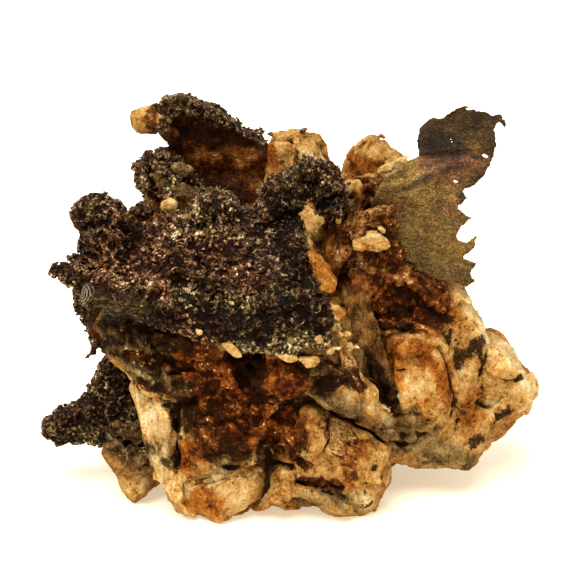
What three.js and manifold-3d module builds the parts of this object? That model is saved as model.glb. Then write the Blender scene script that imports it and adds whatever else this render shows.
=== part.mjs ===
// A hand-sized specimen of kongsbergite, the mercury-bearing variety of native silver, on its matrix.
//
// A lump of broken calcite blocks carries the metal: a thick plate crusted with dark drusy silver that
// leans over the front, a bare torn leaf that stands up at the right, a second crusted plate behind, a
// blunt crusted spike low at the left and two thin plates. Small calcite grains sit on the metal.
//
// Millimetres, +Z up. The specimen rests on the flat undersides of its lowest calcite blocks at z = 0.
// X runs to the right and Y to the back, and the origin is under the middle of the specimen.
import * as THREE from "three";
import { ConvexGeometry } from "three/addons/geometries/ConvexGeometry.js";
import { mergeVertices } from "three/addons/utils/BufferGeometryUtils.js";
import Module from "manifold-3d";

const wasm = await Module();
wasm.setup();

// Driving dimensions.
const GAP = 0.35; // between two pieces that touch
const LEAF_THICKNESS = 1.1;
const BACK_PLATE_THICKNESS = 3.6;
const MIDDLE_X = 0.2; // the specimen's middle, as its shapes are drawn
const MIDDLE_Y = 3.45;
const REACH = 60; // larger than any piece
const SWELL = 1.3; // corners move further than faces do

const CALCITE = new THREE.MeshStandardMaterial({ color: 0xc79a5b, roughness: 0.5, metalness: 0 });
const PALE_CALCITE = new THREE.MeshStandardMaterial({ color: 0xe2c68c, roughness: 0.45, metalness: 0 });
const DARK_CRUST = new THREE.MeshStandardMaterial({ color: 0x2b2320, roughness: 0.45, metalness: 0.5 });
const BARE_SILVER = new THREE.MeshStandardMaterial({ color: 0x5b4d2f, roughness: 0.5, metalness: 0.6 });

// ---- From geometry to solid and back ----

// The solid inside a closed surface, swollen outwards by `grow`.
function solidOf(geometry, grow = 0) {
  geometry.deleteAttribute("normal");
  geometry.deleteAttribute("uv");
  const merged = mergeVertices(geometry, 1e-4);
  const position = merged.attributes.position;
  if (grow > 0) {
    merged.computeVertexNormals();
    for (let i = 0; i < position.count; i++) {
      const outward = new THREE.Vector3().fromBufferAttribute(merged.attributes.normal, i);
      const point = new THREE.Vector3().fromBufferAttribute(position, i);
      point.addScaledVector(outward, SWELL * grow);
      position.setXYZ(i, point.x, point.y, point.z);
    }
  }
  const mesh = new wasm.Mesh({
    numProp: 3,
    vertProperties: new Float32Array(position.array),
    triVerts: new Uint32Array(merged.index.array),
  });
  return new wasm.Manifold(mesh);
}

function geometryOf(solid) {
  const mesh = solid.getMesh();
  const geometry = new THREE.BufferGeometry();
  geometry.setAttribute("position", new THREE.BufferAttribute(new Float32Array(mesh.vertProperties), 3));
  geometry.setIndex(new THREE.BufferAttribute(new Uint32Array(mesh.triVerts), 1));
  geometry.computeVertexNormals();
  return geometry;
}

const join = (solids) => solids.reduce((all, solid) => all.add(solid));

function largestBody(solid) {
  return solid.decompose().reduce((best, body) => (body.volume() > best.volume() ? body : best));
}

// ---- Shapes ----

// A repeatable source of numbers from 0 to 1.
function dice(seed) {
  let state = seed * 2654435761;
  return () => {
    state = (state + 0x6d2b79f5) | 0;
    let t = Math.imul(state ^ (state >>> 15), 1 | state);
    t = (t + Math.imul(t ^ (t >>> 7), 61 | t)) ^ t;
    return ((t ^ (t >>> 14)) >>> 0) / 4294967296;
  };
}

function middleOf(outline) {
  const sum = outline.reduce(([a, b], [x, z]) => [a + x, b + z], [0, 0]);
  return sum.map((s) => s / outline.length);
}

// A convex block that shows this outline, [x, z] points, from the front, and runs from y = front to
// y = back. Its front and back faces are smaller and a little askew, as on a broken crystal, and it
// leans back by `lean` for each millimetre of height.
function block([outline, front, back, lean = 0], grow = 0, seed = 1) {
  const random = dice(seed);
  const [mx, mz] = middleOf(outline);
  const points = [];
  for (const [x, z] of outline) {
    for (const [share, low, high] of [[0, 0.55, 0.9], [0.25, 1, 1], [0.75, 0.94, 1], [1, 0.55, 0.85]]) {
      const scale = low + (high - low) * random();
      const askew = share === 0 || share === 1 ? 0.16 * random() * (1 - 2 * share) : 0;
      const y = front + (back - front) * (share + askew) + lean * (z - mz);
      points.push(new THREE.Vector3(mx + (x - mx) * scale, y, mz + (z - mz) * scale));
    }
  }
  return solidOf(new ConvexGeometry(points), grow);
}

// A rounded lump: points on an ellipsoid, a little uneven.
function lump(at, [rx, ry, rz], grow = 0, seed = 1) {
  const random = dice(seed);
  const centre = new THREE.Vector3(...at);
  const points = [];
  const count = 22;
  for (let i = 0; i < count; i++) {
    const up = 1 - (2 * (i + 0.5)) / count;
    const around = i * Math.PI * (3 - Math.sqrt(5));
    const flat = Math.sqrt(1 - up * up);
    const uneven = 0.86 + 0.14 * random();
    const direction = new THREE.Vector3(flat * Math.cos(around), flat * Math.sin(around), up);
    points.push(new THREE.Vector3(rx, ry, rz).multiplyScalar(uneven).multiply(direction).add(centre));
  }
  return solidOf(new ConvexGeometry(points), grow);
}

// An outline of [x, z] points moved outwards by `grow`, corner by corner.
function widened(outline, grow) {
  const turn = Math.sign(THREE.ShapeUtils.area(outline.map(([x, z]) => new THREE.Vector2(x, z))));
  return outline.map(([x, z], i) => {
    const [px, pz] = outline.at(i - 1);
    const [nx, nz] = outline[(i + 1) % outline.length];
    const along = new THREE.Vector2(nx - px, nz - pz).normalize().multiplyScalar(turn * SWELL * grow);
    return [x + along.y, z - along.x];
  });
}

// The prism along Y over an outline.
function prism(outline, grow) {
  const shape = new THREE.Shape(widened(outline, grow).map(([x, z]) => new THREE.Vector2(x, z)));
  const geometry = new THREE.ExtrudeGeometry(shape, { depth: 2 * REACH, bevelEnabled: false });
  geometry.rotateX(Math.PI / 2);
  geometry.translate(0, REACH, 0);
  return solidOf(geometry);
}

// A bent sheet with this outline. middleY(x, z) is its middle surface, thickness(x, z) its thickness.
function sheet(outline, middleY, thickness, grow = 0, cell = 1.5) {
  const box = new THREE.Box2().setFromPoints(outline.map(([x, z]) => new THREE.Vector2(x, z)));
  box.expandByScalar(2);
  const size = box.getSize(new THREE.Vector2());
  const at = box.getCenter(new THREE.Vector2());
  const across = Math.ceil(size.x / cell);
  const up = Math.ceil(size.y / cell);
  const geometry = new THREE.BoxGeometry(size.x, 1, size.y, across, 1, up);
  const place = geometry.attributes.position;
  for (let i = 0; i < place.count; i++) {
    const x = place.getX(i) + at.x;
    const z = place.getZ(i) + at.y;
    const y = middleY(x, z) + place.getY(i) * (thickness(x, z) + 2 * grow);
    place.setXYZ(i, x, y, z);
  }
  return solidOf(geometry).intersect(prism(outline, grow));
}

// A closed skin over cross-sections: each is a ring of points, all with the same count.
function loft(rings, grow = 0) {
  const count = rings[0].length;
  const vertices = rings.flat().flatMap((point) => point.toArray());
  const faces = [];
  for (let r = 0; r + 1 < rings.length; r++) {
    for (let i = 0; i < count; i++) {
      const a = r * count + i;
      const b = r * count + ((i + 1) % count);
      faces.push(a, b, a + count, b, b + count, a + count);
    }
  }
  const last = (rings.length - 1) * count;
  for (let i = 1; i + 1 < count; i++) {
    faces.push(0, i + 1, i);
    faces.push(last, last + i, last + i + 1);
  }
  const geometry = new THREE.BufferGeometry();
  geometry.setAttribute("position", new THREE.Float32BufferAttribute(vertices, 3));
  geometry.setIndex(faces);
  return solidOf(geometry, grow);
}

// ---- The crusted plate over the front, with the curled knob at its top right ----

// One row for each cross-section, from left to right: x, the back top corner's y and z, the front
// lip's y, and the heights of the lip's top and bottom.
const PLATE_SECTIONS = [
  [-24.0, -7.0, 35.6, -9.5, 32.6, 31.2],
  [-22.8, -5.4, 37.0, -12.0, 29.6, 28.0],
  [-20.6, -5.0, 36.4, -14.2, 29.2, 27.0],
  [-17.6, -4.6, 35.5, -15.2, 28.2, 25.4],
  [-14.0, -4.6, 35.1, -15.8, 26.8, 24.0],
  [-10.4, -4.2, 36.2, -16.2, 25.8, 22.8],
  [-7.6, -3.8, 37.4, -16.4, 25.4, 22.0],
  [-5.4, -4.2, 36.3, -16.4, 25.4, 21.6],
  [-2.4, -3.8, 37.6, -16.2, 25.4, 21.2],
  [0.0, -3.6, 38.2, -16.0, 25.5, 20.9],
  [1.4, -4.4, 36.6, -15.8, 25.8, 20.9],
  [2.6, -8.0, 32.4, -15.6, 26.0, 21.1],
  [3.8, -12.0, 28.6, -15.4, 26.2, 21.4],
  [4.8, -14.2, 26.8, -15.2, 26.0, 22.0],
];
const PLATE_DEPTH = 4.6; // top to underside, at the back
const PLATE_STEPS = 2; // cross-sections for each row above
const CRUST_RELIEF = 0.55;

// Uneven ground, from -1 to 1.
function relief(x, y, z) {
  const coarse = Math.sin(1.7 * x + 0.9 * z + 1) * Math.sin(1.3 * y - 1.1 * x + 2);
  const fine = Math.sin(3.1 * z - 2.3 * y) * Math.sin(2.9 * x + 1.7 * y + 0.5);
  return 0.6 * coarse + 0.4 * fine;
}

function plateSection([x, backY, backZ, lipY, lipTop, lipBottom]) {
  const over = (share, rise) => [backY + (lipY - backY) * share, backZ + (lipTop - backZ) * share + rise];
  const under = (share, drop) => {
    const [y, z] = over(share, 0);
    return [y, z - drop];
  };
  const ring = [
    [backY, backZ],
    over(0.2, 0.5),
    over(0.4, 0.2),
    over(0.6, 0.4),
    over(0.8, 0.9),
    [lipY + 0.8, lipTop + 0.5],
    [lipY, lipTop - 0.4],
    [lipY + 0.3, (lipTop + lipBottom) / 2],
    [lipY, lipBottom + 0.6],
    [lipY + 1.4, lipBottom],
    under(0.7, PLATE_DEPTH - 0.4),
    under(0.4, PLATE_DEPTH),
    under(0, PLATE_DEPTH - 1.5),
  ];
  return ring.map(([y, z]) => {
    const rise = CRUST_RELIEF * relief(x, y, z);
    return new THREE.Vector3(x, y - 0.5 * rise, z + rise);
  });
}

function plateSections() {
  const rows = [];
  for (let i = 0; i + 1 < PLATE_SECTIONS.length; i++) {
    for (let step = 0; step < PLATE_STEPS; step++) {
      const share = step / PLATE_STEPS;
      rows.push(PLATE_SECTIONS[i].map((v, k) => v + (PLATE_SECTIONS[i + 1][k] - v) * share));
    }
  }
  rows.push(PLATE_SECTIONS.at(-1));
  return rows.map(plateSection);
}

// Lumps of the knob, one after another round its arch, and of the plate's lobed left end.
const KNOB_LUMPS = [
  [[0.9, -4.4, 36.4], [1.9, 1.9, 2.2]],
  [[0.8, -4.2, 38.4], [1.9, 1.9, 1.7]],
  [[2.1, -4.0, 40.0], [1.7, 1.6, 1.6]],
  [[3.4, -4.0, 38.9], [1.6, 1.6, 1.3]],
  [[4.8, -4.0, 39.6], [1.5, 1.5, 1.5]],
  [[5.6, -3.9, 38.0], [1.7, 1.6, 1.4]],
  [[6.6, -3.9, 36.6], [1.3, 1.4, 1.6]],
  [[5.0, -4.3, 36.0], [1.5, 1.4, 1.6]],
];
const LOBE_LUMPS = [
  [[-22.6, -7.2, 35.4], [2.3, 2.2, 2.3]],
  [[-20.4, -6.2, 35.9], [2.0, 1.8, 1.6]],
  [[-21.8, -9.0, 32.6], [2.4, 2.2, 2.0]],
  [[-7.8, -4.6, 36.6], [2.2, 1.8, 1.7]],
  [[-16.6, -5.0, 35.6], [1.8, 1.4, 1.2]],
];
const LIP_BLOCKS = [
  [
    [
      [-26.8, 29.9], [-25.8, 30.8], [-24.2, 30.6], [-21.0, 29.4], [-21.4, 27.8], [-24.6, 28.0],
    ],
    -12.6, -9.0,
  ],
  [
    [
      [-25.9, 31.2], [-25.0, 32.2], [-23.4, 31.4], [-23.6, 29.6], [-24.8, 29.8],
    ],
    -9.8, -7.0,
  ],
  [
    [
      [-22.6, 29.2], [-21.4, 30.0], [-17.4, 29.0], [-16.6, 27.4], [-18.6, 26.4], [-21.4, 27.2],
    ],
    -16.2, -12.4,
  ],
];

function crustedPlate(grow) {
  const solids = [loft(plateSections(), grow)];
  for (const [i, [at, radii]] of [...KNOB_LUMPS, ...LOBE_LUMPS].entries()) {
    solids.push(lump(at, radii, grow, 11 + i));
  }
  for (const [i, shape] of LIP_BLOCKS.entries()) {
    solids.push(block(shape, grow, 31 + i));
  }
  return join(solids);
}

// ---- The bare leaf that stands up at the right ----

const LEAF_OUTLINE = [
  [9.6, 35.2], [10.4, 37.6], [11.4, 39.0], [13.1, 39.9], [14.0, 40.9], [15.3, 41.3], [15.0, 43.1],
  [15.3, 44.7], [16.7, 46.0], [17.6, 45.8], [19.3, 47.1], [20.3, 47.5], [21.0, 47.1], [22.4, 47.0],
  [23.4, 46.4], [24.5, 46.5], [25.2, 45.3], [24.9, 44.7], [24.2, 45.5], [23.8, 44.6], [24.2, 42.9],
  [23.7, 40.6], [22.9, 38.7], [21.7, 37.6], [20.5, 37.1], [21.2, 36.3], [19.9, 35.2], [21.6, 34.1],
  [20.3, 33.0], [19.8, 31.8], [21.0, 31.4], [22.3, 32.3], [22.0, 30.7], [20.6, 29.4], [22.4, 28.8],
  [21.6, 27.5], [22.2, 26.6], [21.1, 25.8], [18.1, 27.0], [15.1, 28.4], [12.6, 29.6], [10.4, 32.2],
];

function leafMiddle(x, z) {
  const lean = 0.05 * (z - 30);
  const ripple = 0.55 * Math.sin(0.42 * x + 0.3 * z) + 0.35 * Math.sin(0.7 * z - 0.25 * x);
  const curl = 0.03 * Math.max(0, z - 41) ** 2;
  return -2.6 + lean + ripple - curl;
}

const leaf = (grow) => sheet(LEAF_OUTLINE, leafMiddle, () => LEAF_THICKNESS, grow, 1.6);

// ---- The crusted plate at the back, with a calcite lump on its left end ----

const BACK_OUTLINE = [
  [-16.4, 43.6], [-15.6, 45.6], [-13.3, 46.1], [-10.7, 45.1], [-8.3, 44.2], [-6.5, 43.0],
  [-5.5, 41.7], [-4.0, 41.0], [-2.2, 40.0], [-2.0, 35.5], [-3.0, 29.0], [-9.0, 28.0], [-12.6, 30.6],
  [-13.4, 34.4], [-15.4, 38.8], [-16.2, 41.2],
];

function backMiddle(x, z) {
  const overhang = 0.045 * Math.max(0, z - 39) ** 2;
  const hollow = 1.6 * Math.exp(-(((x + 7) / 5) ** 2) - ((z - 35) / 4) ** 2);
  return 17.2 - overhang + hollow;
}

function backThickness(x, z) {
  return BACK_PLATE_THICKNESS + 0.12 * Math.max(0, z - 38);
}

// Crusted lumps below its left end, and a small ball on its right end.
const BACK_LUMPS = [
  [[-18.0, 14.8, 37.2], [1.7, 1.8, 1.7]],
  [[-17.6, 14.2, 34.6], [1.5, 1.7, 1.8]],
  [[-15.4, 15.2, 38.6], [2.4, 2.0, 1.6]],
  [[-3.2, 16.2, 41.8], [0.9, 0.9, 0.8]],
];

function backPlate(grow) {
  const lumps = BACK_LUMPS.map(([at, radii], i) => lump(at, radii, grow, 41 + i));
  return join([sheet(BACK_OUTLINE, backMiddle, backThickness, grow, 1.9), ...lumps]);
}

const calciteTip = (grow) => lump([-17.5, 16.2, 42.7], [3.1, 2.3, 2.1], grow, 51);

// ---- The spike low at the left, and the two thin plates ----

const SPIKE_BLOCKS = [
  [
    [
      [-30.6, 6.9], [-29.2, 8.3], [-27.9, 9.7], [-26.0, 10.4], [-23.6, 11.2], [-23.0, 5.6],
      [-26.1, 5.1], [-28.3, 4.8], [-29.9, 5.5],
    ],
    -2.6, 2.4,
  ],
  [
    [
      [-25.4, 10.6], [-23.3, 13.8], [-22.5, 16.4], [-19.8, 14.6], [-18.6, 6.4], [-22.8, 5.2],
      [-25.2, 6.0],
    ],
    -4.2, 3.6,
  ],
  [
    [
      [-22.6, 16.6], [-20.4, 15.4], [-16.6, 12.0], [-15.6, 6.6], [-18.6, 4.6], [-22.0, 6.6],
    ],
    -5.4, 3.6,
  ],
];

function spike(grow) {
  return join(SPIKE_BLOCKS.map((shape, i) => block(shape, grow, 61 + i)));
}

const FLAP_OUTLINE = [
  [-26.3, 25.6], [-22.4, 25.2], [-19.4, 22.0], [-20.4, 17.4], [-23.3, 17.2], [-24.8, 19.2],
  [-25.8, 21.8],
];
const FLAP_THICKNESS = 2.0;
const flapMiddle = (x, z) => 0.6 + 0.3 * Math.sin(0.6 * z);
const flap = (grow) => sheet(FLAP_OUTLINE, flapMiddle, () => FLAP_THICKNESS, grow, 2.5);

const BLADE_OUTLINE = [
  [6.2, 30.2], [8.6, 30.2], [9.8, 27.8], [10.2, 23.8], [11.2, 20.4], [12.3, 16.4], [13.3, 12.2],
  [12.4, 12.2], [10.8, 15.8], [9.0, 18.9], [7.7, 21.7], [6.7, 24.5], [6.1, 27.2],
];
const BLADE_THICKNESS = 1.3;
const bladeMiddle = (x, z) => -9.2 + 0.5 * (x - 9) + 0.16 * (z - 20);
const blade = (grow) => sheet(BLADE_OUTLINE, bladeMiddle, () => BLADE_THICKNESS, grow, 2.5);

// ---- The calcite grains on the metal ----

const GRAINS = [
  [[10.2, -5.6, 31.9], [1.8, 1.1, 1.0]],
  [[7.7, -3.4, 38.4], [1.2, 0.9, 0.6]],
  [[12.9, 1.6, 39.6], [2.0, 1.2, 0.9]],
  [[4.8, -8.9, 29.0], [1.3, 1.3, 2.4]],
  [[5.7, -12.4, 25.6], [0.9, 0.9, 1.1]],
  [[-13.8, -2.8, 35.7], [1.2, 1.0, 0.9]],
];

// ---- The matrix: calcite blocks grown together ----

// Outline, front, back and lean of each block. Those that show at the front come first, from left to
// right.
const MATRIX_BLOCKS = [
  [
    [
      [-22.6, 7.2], [-20.4, 8.6], [-15.3, 7.4], [-14.2, 1.6], [-16.6, 0.7], [-18.5, -0.9],
      [-20.5, 3.2],
    ],
    -8.6, 4.0,
  ],
  [
    [
      [-17.6, 15.0], [-16.1, 16.4], [-13.4, 14.0], [-12.8, 8.5], [-12.9, 3.4], [-14.0, 2.8],
      [-15.2, 5.2], [-16.1, 9.8],
    ],
    -12.2, -1.0,
  ],
  [
    [
      [-14.2, 4.6], [-12.6, 7.0], [-10.6, 4.4], [-10.0, -0.9], [-12.3, -0.9], [-14.2, 1.6],
    ],
    -12.8, -3.0,
  ],
  [
    [
      [-11.7, 4.2], [-6.4, 6.4], [-2.3, 7.4], [-1.7, 5.1], [-2.1, 1.8], [-4.8, 0.5], [-8.8, -0.9],
      [-11.0, -0.9], [-12.0, 2.0],
    ],
    -13.8, -3.0,
  ],
  [
    [
      [-13.1, 14.4], [-9.6, 15.0], [-2.4, 10.6], [-1.8, 7.0], [-6.0, 5.6], [-11.4, 4.2],
      [-12.8, 4.6],
    ],
    -13.6, -2.0,
  ],
  [
    [
      [-22.0, 22.4], [-20.6, 25.4], [-12.4, 23.6], [-5.2, 20.8], [-4.0, 16.4], [-11.4, 13.2],
      [-14.3, 14.2], [-17.8, 15.8], [-20.9, 19.4],
    ],
    -12.8, 6.0,
  ],
  [
    [
      [-13.0, 16.6], [-4.4, 19.6], [5.2, 19.0], [5.8, 12.8], [1.6, 6.4], [-3.4, 4.2], [-12.6, 6.6],
    ],
    -11.6, 6.0,
  ],
  [
    [
      [-2.1, 5.6], [-0.4, 6.9], [1.2, 6.2], [1.2, 3.8], [-0.2, 1.9], [-2.0, 2.4],
    ],
    -14.2, -6.0,
  ],
  [
    [
      [-2.4, 2.4], [1.5, 3.2], [6.8, 2.0], [9.3, 0.2], [8.8, -1.2], [5.1, -1.2], [0.3, 0.4],
      [-2.0, 0.8],
    ],
    -11.0, -2.0,
  ],
  [
    [
      [0.6, 13.4], [3.4, 14.2], [6.4, 12.6], [9.8, 10.2], [11.9, 8.9], [12.2, 3.9], [11.1, 0.5],
      [9.2, -1.4], [5.4, -0.4], [1.3, 2.2], [-0.5, 5.0], [-1.0, 9.2],
    ],
    -12.8, -2.0,
  ],
  [
    [
      [-4.9, 20.0], [0.6, 20.6], [4.9, 20.4], [7.4, 18.0], [10.2, 15.4], [9.8, 13.2], [6.6, 13.6],
      [4.2, 14.9], [1.4, 17.2], [-3.1, 18.4],
    ],
    -15.0, -3.0,
  ],
  [
    [
      [6.6, 16.0], [10.0, 14.8], [13.7, 11.4], [13.9, 5.0], [11.7, 5.6], [7.5, 8.8], [5.8, 12.0],
    ],
    -9.6, 4.0,
  ],
  [
    [
      [11.2, 20.4], [13.2, 22.0], [17.8, 21.6], [19.4, 19.6], [21.2, 14.0], [20.4, 9.4],
      [17.2, 6.8], [12.9, 8.6], [11.2, 14.5],
    ],
    -9.2, 4.0,
  ],
  [
    [
      [8.6, 27.0], [16.0, 27.2], [21.6, 24.4], [23.0, 20.8], [25.0, 18.0], [24.0, 10.0],
      [13.8, 9.8], [10.4, 17.0],
    ],
    -5.4, 10.0,
  ],
  [
    [
      [20.6, 16.8], [24.2, 18.4], [26.6, 17.2], [29.8, 13.2], [31.0, 10.8], [29.6, 8.6],
      [25.4, 7.0], [22.2, 9.0],
    ],
    -3.6, 11.6,
  ],
  [
    [
      [12.9, 8.8], [20.9, 12.0], [25.0, 10.2], [23.7, 5.2], [22.3, 2.6], [17.4, 3.2], [13.0, 4.2],
    ],
    -7.8, 7.0,
  ],
  [
    [
      [23.4, 10.4], [29.8, 10.4], [30.2, 9.4], [28.1, 6.5], [26.3, 4.3], [23.6, 3.2],
    ],
    -0.6, 10.0,
  ],
  [
    [
      [4.6, 37.4], [8.0, 38.4], [11.6, 38.6], [13.8, 30.0], [16.6, 26.6], [13.6, 23.0], [6.8, 22.0],
      [3.6, 27.4],
    ],
    -5.2, 7.0,
  ],
  // Under the crusted plate.
  [
    [
      [-19.6, 20.4], [-21.0, 26.4], [-17.0, 31.0], [-8.6, 32.4], [-2.0, 34.2], [1.6, 34.0],
      [4.2, 28.0], [4.4, 20.4],
    ],
    -9.4, -0.4, 0.75,
  ],
  // The core.
  [
    [
      [-17.0, 8.0], [-18.6, 20.0], [-17.2, 27.6], [-8.0, 30.6], [3.0, 31.4], [8.4, 25.0],
      [13.0, 10.0], [0.0, 4.6],
    ],
    -5.0, 7.6,
  ],
  // Behind the metal.
  [
    [
      [5.9, 34.6], [7.1, 38.6], [8.7, 40.6], [10.4, 41.8], [11.7, 41.2], [12.3, 38.8], [13.8, 38.0],
      [16.6, 36.6], [15.4, 31.0], [7.0, 29.0],
    ],
    6.4, 15.2,
  ],
  [
    [
      [-3.2, 32.0], [-2.6, 40.2], [1.4, 41.2], [4.0, 40.2], [5.0, 37.4], [6.6, 32.6], [3.6, 27.6],
      [-2.0, 27.6],
    ],
    12.8, 23.8,
  ],
  [
    [
      [-18.0, 36.8], [-17.0, 38.6], [-14.6, 38.4], [-12.0, 34.4], [-11.0, 30.4], [-12.0, 27.6],
      [-16.8, 28.4], [-18.2, 33.0],
    ],
    12.4, 20.4,
  ],
  [
    [
      [-17.8, 19.0], [-18.4, 26.6], [-14.4, 31.4], [-6.0, 32.4], [-4.6, 22.0], [-9.0, 17.0],
    ],
    1.4, 17.6, 0.2,
  ],
  [
    [
      [-7.0, 22.0], [-7.6, 31.0], [1.6, 34.2], [7.4, 32.0], [8.6, 24.0], [1.0, 19.6],
    ],
    2.6, 21.6, 0.15,
  ],
  [
    [
      [5.4, 22.0], [5.6, 32.0], [12.0, 34.4], [17.4, 29.6], [20.4, 23.6], [13.6, 18.8],
    ],
    1.0, 14.6,
  ],
  [
    [
      [-17.4, 6.4], [-19.4, 12.4], [-16.6, 20.0], [-8.2, 20.6], [-5.0, 12.0], [-8.4, 4.4],
    ],
    -1.0, 15.2, -0.15,
  ],
  [
    [
      [-9.6, 7.6], [-10.6, 18.6], [-3.4, 24.8], [6.4, 23.8], [9.8, 14.0], [5.6, 4.8], [-3.6, 4.2],
    ],
    -4.0, 20.0, 0.1,
  ],
  [
    [
      [5.4, 7.4], [6.2, 19.4], [13.2, 25.4], [20.8, 21.8], [24.6, 14.2], [20.6, 6.2], [12.2, 3.8],
    ],
    -2.0, 17.2, -0.1,
  ],
  [
    [
      [-9.8, 7.6], [3.0, 8.2], [4.8, 2.4], [3.2, -1.4], [-6.2, -1.4], [-10.4, 3.0],
    ],
    4.2, 17.4,
  ],
  [
    [
      [2.0, 8.4], [12.8, 9.0], [16.0, 4.4], [12.8, -1.4], [4.6, -1.4],
    ],
    1.4, 13.8,
  ],
];

function matrix() {
  const blocks = MATRIX_BLOCKS.map((shape, i) => block(shape, 0, 101 + i));
  const aboveFloor = solidOf(new THREE.BoxGeometry(2 * REACH, 2 * REACH, REACH).translate(0, 0, REACH / 2));
  return join(blocks).intersect(aboveFloor);
}

// ---- The specimen ----

function grain([at, radii], i) {
  return [`calcite_grain_${i + 1}`, (grow) => lump(at, radii, grow, 81 + i), PALE_CALCITE];
}

// Each piece in order: one that comes later is cut back from all those before it.
const PIECES = [
  ["crusted_plate", crustedPlate, DARK_CRUST],
  ["silver_leaf", leaf, BARE_SILVER],
  ["back_plate", backPlate, DARK_CRUST],
  ["left_spike", spike, DARK_CRUST],
  ["left_flap", flap, DARK_CRUST],
  ["silver_blade", blade, BARE_SILVER],
  ["calcite_tip", calciteTip, PALE_CALCITE],
  ...GRAINS.map(grain),
  ["matrix_rock", matrix, CALCITE],
];

const specimen = new THREE.Group();
specimen.position.set(-MIDDLE_X, -MIDDLE_Y, 0);
const cutters = [];
for (const [name, make, material] of PIECES) {
  const solid = cutters.reduce((left, cutter) => left.subtract(cutter), make(0));
  const mesh = new THREE.Mesh(geometryOf(largestBody(solid)), material);
  mesh.name = name;
  specimen.add(mesh);
  cutters.push(make(GAP));
}

export default specimen;
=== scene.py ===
"""The looks of the kongsbergite specimen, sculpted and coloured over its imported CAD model.

Each CAD solid is turned into a volume of signed distances, roughened there by what the real surface
has (crystal grain, cleavage steps, cracks, fibres), and meshed again. Lengths are in millimetres up to
the point where a mesh is made, and positions are in the specimen's own frame: +X right, +Y back, +Z up.
"""

import itertools
import math
from collections import namedtuple
from concurrent.futures import ThreadPoolExecutor

import bpy
import numpy as np
import openvdb
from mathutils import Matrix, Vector


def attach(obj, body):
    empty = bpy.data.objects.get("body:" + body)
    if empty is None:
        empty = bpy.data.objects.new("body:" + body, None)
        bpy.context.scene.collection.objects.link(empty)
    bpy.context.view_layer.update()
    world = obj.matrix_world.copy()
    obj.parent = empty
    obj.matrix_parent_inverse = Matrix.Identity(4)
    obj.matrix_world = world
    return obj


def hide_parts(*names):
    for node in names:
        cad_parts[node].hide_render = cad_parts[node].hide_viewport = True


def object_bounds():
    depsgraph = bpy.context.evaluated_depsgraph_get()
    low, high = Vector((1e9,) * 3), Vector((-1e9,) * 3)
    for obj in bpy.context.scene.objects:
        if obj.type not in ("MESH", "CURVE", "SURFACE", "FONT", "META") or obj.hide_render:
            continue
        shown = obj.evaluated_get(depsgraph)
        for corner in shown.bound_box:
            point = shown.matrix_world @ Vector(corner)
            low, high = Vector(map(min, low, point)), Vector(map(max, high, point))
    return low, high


MM = 0.001
CAMERA_DROP = math.radians(15)  # how far below level the camera looks
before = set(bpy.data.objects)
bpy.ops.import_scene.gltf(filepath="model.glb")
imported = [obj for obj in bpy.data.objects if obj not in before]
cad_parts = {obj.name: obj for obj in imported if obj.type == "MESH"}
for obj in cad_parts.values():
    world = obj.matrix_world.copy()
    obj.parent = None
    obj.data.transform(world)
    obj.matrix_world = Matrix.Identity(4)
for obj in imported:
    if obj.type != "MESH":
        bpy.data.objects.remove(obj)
cad_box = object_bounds()

# ---------------------------------------------------------------------------------------------------
# Noise, as functions of position
# ---------------------------------------------------------------------------------------------------

TABLE = 32  # noise repeats after this many cells; a power of 2
table_dice = np.random.default_rng(717)
random_value = table_dice.random((TABLE, TABLE, TABLE)).astype(np.float32).ravel()
random_place = table_dice.random((TABLE**3, 3)).astype(np.float32)
NEIGHBOURS = np.array(list(itertools.product((-1, 0, 1), repeat=3)), np.int32)
CLEAVAGE = np.array([(0.6, -0.35, 0.72), (-0.7, -0.5, 0.5), (0.15, 0.85, 0.5)], np.float32)


def table_row(cell):
    """The row of the random tables that belongs to a cell."""
    wrapped = cell & (TABLE - 1)
    return (wrapped[:, 0] * TABLE + wrapped[:, 1]) * TABLE + wrapped[:, 2]


def corner_weights(part):
    """A cell's corners, each with its weight in a blend at the place part, which runs from 0 to 1."""
    for corner in itertools.product((0, 1), repeat=3):
        weight = np.ones(len(part), np.float32)
        for axis, far in enumerate(corner):
            weight *= part[:, axis] if far else 1 - part[:, axis]
        yield np.array(corner, np.int32), weight


def soft_noise(places, size, seed=0):
    """Smooth noise from -1 to 1, with features as large as size: one length, or one for each axis."""
    scaled = places / np.asarray(size, np.float32) + 7.31 * seed
    cell = np.floor(scaled).astype(np.int32)
    part = scaled - cell
    total = np.zeros(len(places), np.float32)
    for corner, weight in corner_weights(part * part * (3 - 2 * part)):
        total += weight * random_value[table_row(cell + corner)]
    return 2 * total - 1


def fractal(places, size, octaves=3, seed=0):
    """Noise summed over octaves, each half the size and half the strength of the one before."""
    size = np.asarray(size, np.float32)
    total = sum(soft_noise(places, size / 2**i, seed + 3 * i) / 2**i for i in range(octaves))
    return total / (2 - 0.5 ** (octaves - 1))


def streaks(places, direction, width, length, seed=0):
    """Noise drawn out along a direction."""
    direction = np.asarray(direction, np.float32)
    direction /= np.linalg.norm(direction)
    along = (places @ direction)[:, None] * direction
    return soft_noise((places - along) / width + along / length, 1.0, seed)


def swayed(places, size, amount, seed=0):
    """The places moved about by smooth noise, so that what is drawn there loses its straight edges."""
    return places + amount * np.stack([soft_noise(places, size, seed + i) for i in range(3)], 1)


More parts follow.
